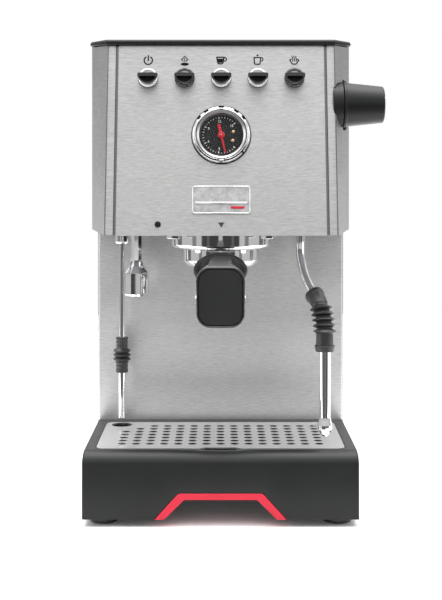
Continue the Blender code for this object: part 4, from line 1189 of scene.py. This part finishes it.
def make_handle():
    """Chrome ferrule, black grip with a flared collar, and an end cap with an inset face."""
    ferrule = blended_rings([(15.5, 10.4, 7.4, 0.55), (8.0, 10.4, 7.8, 0.55), (4.2, 12.6, 10.0, 0.8)], 6)
    fine("handle_ferrule", loft(ferrule), "chrome", "portafilter", HANDLE)
    sections = [
        (3.9, 13.5, 10.4, 1.0),
        (3.2, 18.0, 12.6, 1.0),
        (1.2, 20.8, 13.9, 1.0),
        (-1.8, 21.4, 14.3, 1.0),
        (-4.2, 20.4, 13.7, 1.0),
        (-7.5, 14.5, 12.6, 0.85),
        (-12.0, 10.2, 12.0, 0.55),
        (-22.0, 9.0, 12.4, 0.42),
        (-46.0, 11.0, 14.8, 0.42),
        (-72.0, 14.2, 18.8, 0.45),
        (-90.0, 16.4, 21.3, 0.48),
        (-92.2, 16.6, 21.6, 0.48),
    ]
    fine("handle_grip", loft(blended_rings(sections, 5)), "black_plastic", "portafilter", HANDLE)

    rim = [cap_ring(0.8, -92.4), cap_ring(0.1, -93.0), cap_ring(0, -93.6), cap_ring(0, -96.0)]
    for step in range(1, 9):
        turn = math.radians(step * 20)
        rim.append(cap_ring(0.8 * (1 - math.cos(turn)), -96.0 - 1.3 * math.sin(turn)))
    rim.append(cap_ring(1.75, -94.0))
    piece("handle_cap_rim", loft(rim), "black_plastic", "portafilter", HANDLE, look=RIM_GLOSS, smooth=60)
    steps = ((2.0, -93.8), (2.0, -96.6), (2.2, -96.9), (6.0, -97.1), (12.0, -97.2), (15.0, -97.2))
    face = [cap_ring(inset, along) for inset, along in steps]
    fine("handle_cap", loft(face), "black_plastic", "portafilter", HANDLE, look=CAP_BLACK, smooth=50)


# Rear and top details


def screw(x, y, z, radius=2.6):
    """A domed cross-head screw that faces local Z."""
    head = lathe([(0, 1.1), (radius * 0.6, 1.0), (radius, 0.2), (radius, -0.3)], [0, 0.8, 0.4, 0], 32)
    cross = [box(-1.4, 1.4, -0.3, 0.3, 0.9, 1.16), box(-0.3, 0.3, -1.4, 1.4, 0.9, 1.16)]
    return moved(merged([head] + cross), (x, y, z))


def make_rear_details():
    """Screws round the rear panel and three prongs in the power inlet."""
    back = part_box("rear_panel")[1].y
    rear = space(Vector((ORIGIN.x, back, 0)), -X, Z, Y)
    heads = [screw(x, z, 0) for x in (-97, 97) for z in (20, 130, 250, 364)]
    piece("rear_screws", merged(heads), "plated_steel", "housing", rear)
    low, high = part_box("power_inlet")
    centre = (-((low.x + high.x) / 2 - ORIGIN.x) / MM, (low.z + high.z) / 2 / MM)
    prongs = []
    for x, z in ((-7, -2.4), (0, 2.8), (7, -2.4)):
        blade = box(-1.0, 1.0, -2.2, 2.2, -15.8, -4.5)
        prongs.append(moved(blade, (centre[0] + x, centre[1] + z, 0)))
    piece("inlet_prongs", merged(prongs), "brass", "housing", rear, bevel=0.4)


def make_lid_grip():
    """A shallow bar near the fill lid's front edge."""
    low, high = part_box("fill_lid")
    middle = (low + high) / 2
    place = space(Vector((middle.x, low.y + 0.009, high.z)), X, Y, Z)
    bar = prism(rectangle(-22, 22, -2.6, 2.6, 2.5), -0.4, 1.2)
    piece("lid_grip", bar, "black_plastic", "tank_lid", place, bevel=0.7)


# Stage


def make_floor():
    """A white sweep that ends just in front of the machine, out of the camera's sight."""
    floor = bmesh.new()
    near = ORIGIN.y - 0.19
    corners = [(-1.0, near), (1.0, near), (1.0, 1.3), (-1.0, 1.3)]
    floor.faces.new([floor.verts.new((x, y, 0)) for x, y in corners])
    data = bpy.data.meshes.new("floor")
    floor.to_mesh(data)
    floor.free()
    nodes = Nodes("floor_white")
    cloud = nodes.noise(3.0, 2.0)
    nodes.colours(cloud, (0.88, 0.88, 0.88), (0.90, 0.90, 0.90))
    nodes.set(Roughness=0.7, Specular_IOR_Level=0.1, Emission_Color=(1, 1, 1, 1), Emission_Strength=0.03)
    data.materials.append(nodes.material)
    obj = bpy.data.objects.new("floor", data)
    bpy.context.collection.objects.link(obj)


def area_light(name, place, target, size, power):
    data = bpy.data.lights.new(name, "AREA")
    data.shape = "RECTANGLE"
    data.size, data.size_y = size
    data.energy = power
    light = bpy.data.objects.new(name, data)
    bpy.context.collection.objects.link(light)
    light.location = place
    light.rotation_euler = (Vector(target) - Vector(place)).to_track_quat("-Z", "Y").to_euler()


def make_lights():
    middle = (ORIGIN.x, ORIGIN.y + 0.1, 0.2)
    area_light("left_softbox", (-1.5, -0.5, 0.7), middle, (0.5, 1.0), 6)
    area_light("right_softbox", (1.5, -0.5, 0.7), middle, (0.5, 1.0), 5)


def make_world():
    """A white studio, brighter overhead, with a dark gap and two dark bars on each side of the front."""
    world = bpy.data.worlds.new("studio")
    world.use_nodes = True
    tree = world.node_tree
    tree.nodes.clear()
    split = tree.nodes.new("ShaderNodeSeparateXYZ")
    tree.links.new(tree.nodes.new("ShaderNodeTexCoord").outputs["Generated"], split.inputs[0])

    def calculate(operation, first, second=None):
        node = tree.nodes.new("ShaderNodeMath")
        node.operation = operation
        for socket, value in zip(node.inputs, (first, second)):
            if isinstance(value, float):
                socket.default_value = value
            elif value is not None:
                tree.links.new(value, socket)
        return node.outputs[0]

    def fade(value, start, end):
        node = tree.nodes.new("ShaderNodeMapRange")
        node.interpolation_type = "SMOOTHSTEP"
        node.inputs[1].default_value = start
        node.inputs[2].default_value = end
        tree.links.new(value, node.inputs[0])
        return node.outputs[0]

    def band(value, start, end, soft):
        """One between two limits and nothing outside them."""
        return calculate("MULTIPLY", fade(value, start - soft, start), fade(value, end + soft, end))

    towards = calculate("MULTIPLY", split.outputs["Y"], -1.0)
    bearing = calculate("ARCTAN2", split.outputs["X"], towards)
    aside = calculate("ABSOLUTE", bearing)
    height = split.outputs["Z"]
    dark = calculate("MULTIPLY", band(aside, 0.10, 0.74, 0.05), band(height, -0.45, 0.02, 0.08))
    dark = calculate("MULTIPLY", dark, DARK_DEPTH)
    for start, end, depth in ((1.02, 1.16, 0.6), (1.76, 2.0, 0.7)):
        dark = calculate("MAXIMUM", dark, calculate("MULTIPLY", band(aside, start, end, 0.04), depth))
    slit = calculate("MULTIPLY", band(aside, 0.46, 0.52, 0.04), 0.13)
    dark = calculate("MULTIPLY", dark, calculate("SUBTRACT", 1.0, slit))
    glow = calculate("ADD", calculate("MULTIPLY", fade(height, 0.08, 0.45), 0.46), 0.64)
    level = calculate("MULTIPLY", calculate("SUBTRACT", 1.0, dark), glow)
    key = fade(height, 0.60, 0.85)
    level = calculate("ADD", level, calculate("MULTIPLY", fade(height, 0.90, 0.96), OVERHEAD_LEVEL))
    studio = tree.nodes.new("ShaderNodeBackground")
    tree.links.new(calculate("ADD", level, calculate("MULTIPLY", key, KEY_LEVEL)), studio.inputs["Strength"])
    white = tree.nodes.new("ShaderNodeBackground")
    for background in (studio, white):
        background.inputs["Color"].default_value = (1, 1, 1, 1)
    mix = tree.nodes.new("ShaderNodeMixShader")
    path = tree.nodes.new("ShaderNodeLightPath")
    tree.links.new(path.outputs["Is Camera Ray"], mix.inputs[0])
    tree.links.new(studio.outputs[0], mix.inputs[1])
    tree.links.new(white.outputs[0], mix.inputs[2])
    out = tree.nodes.new("ShaderNodeOutputWorld")
    tree.links.new(mix.outputs[0], out.inputs[0])
    bpy.context.scene.world = world


def make_camera():
    """Level camera in front of the machine, with its view shifted down to frame it."""
    data = bpy.data.cameras.new("camera")
    data.sensor_width = 36
    data.lens = 73.2
    data.shift_x = 0.0008
    data.shift_y = -0.215
    data.clip_end = 50
    camera = bpy.data.objects.new("camera", data)
    bpy.context.collection.objects.link(camera)
    camera.location = ORIGIN + CAMERA_PLACE
    camera.rotation_euler = (math.radians(90), 0, 0)
    bpy.context.scene.camera = camera


def main():
    make_camera()
    make_world()
    make_lights()
    make_floor()
    dress_cad()
    make_feet()
    make_drip_tray()
    make_tray_trim()
    make_drip_grille()
    make_front_panel()
    make_corner_strips()
    make_column_panel()
    make_top_frame()
    make_icons()
    make_badge()
    make_indicator()
    make_gauge_bezel()
    make_gauge_dial()
    make_gauge_needle()
    make_gauge_glass()
    make_switches()
    make_knob()
    make_wand()
    make_drain_tube()
    make_relief_nozzle()
    make_group()
    make_portafilter()
    make_spout()
    make_handle()
    make_rear_details()
    make_lid_grip()
    bpy.context.scene.view_settings.view_transform = "Standard"


main()
bpy.context.view_layer.update()
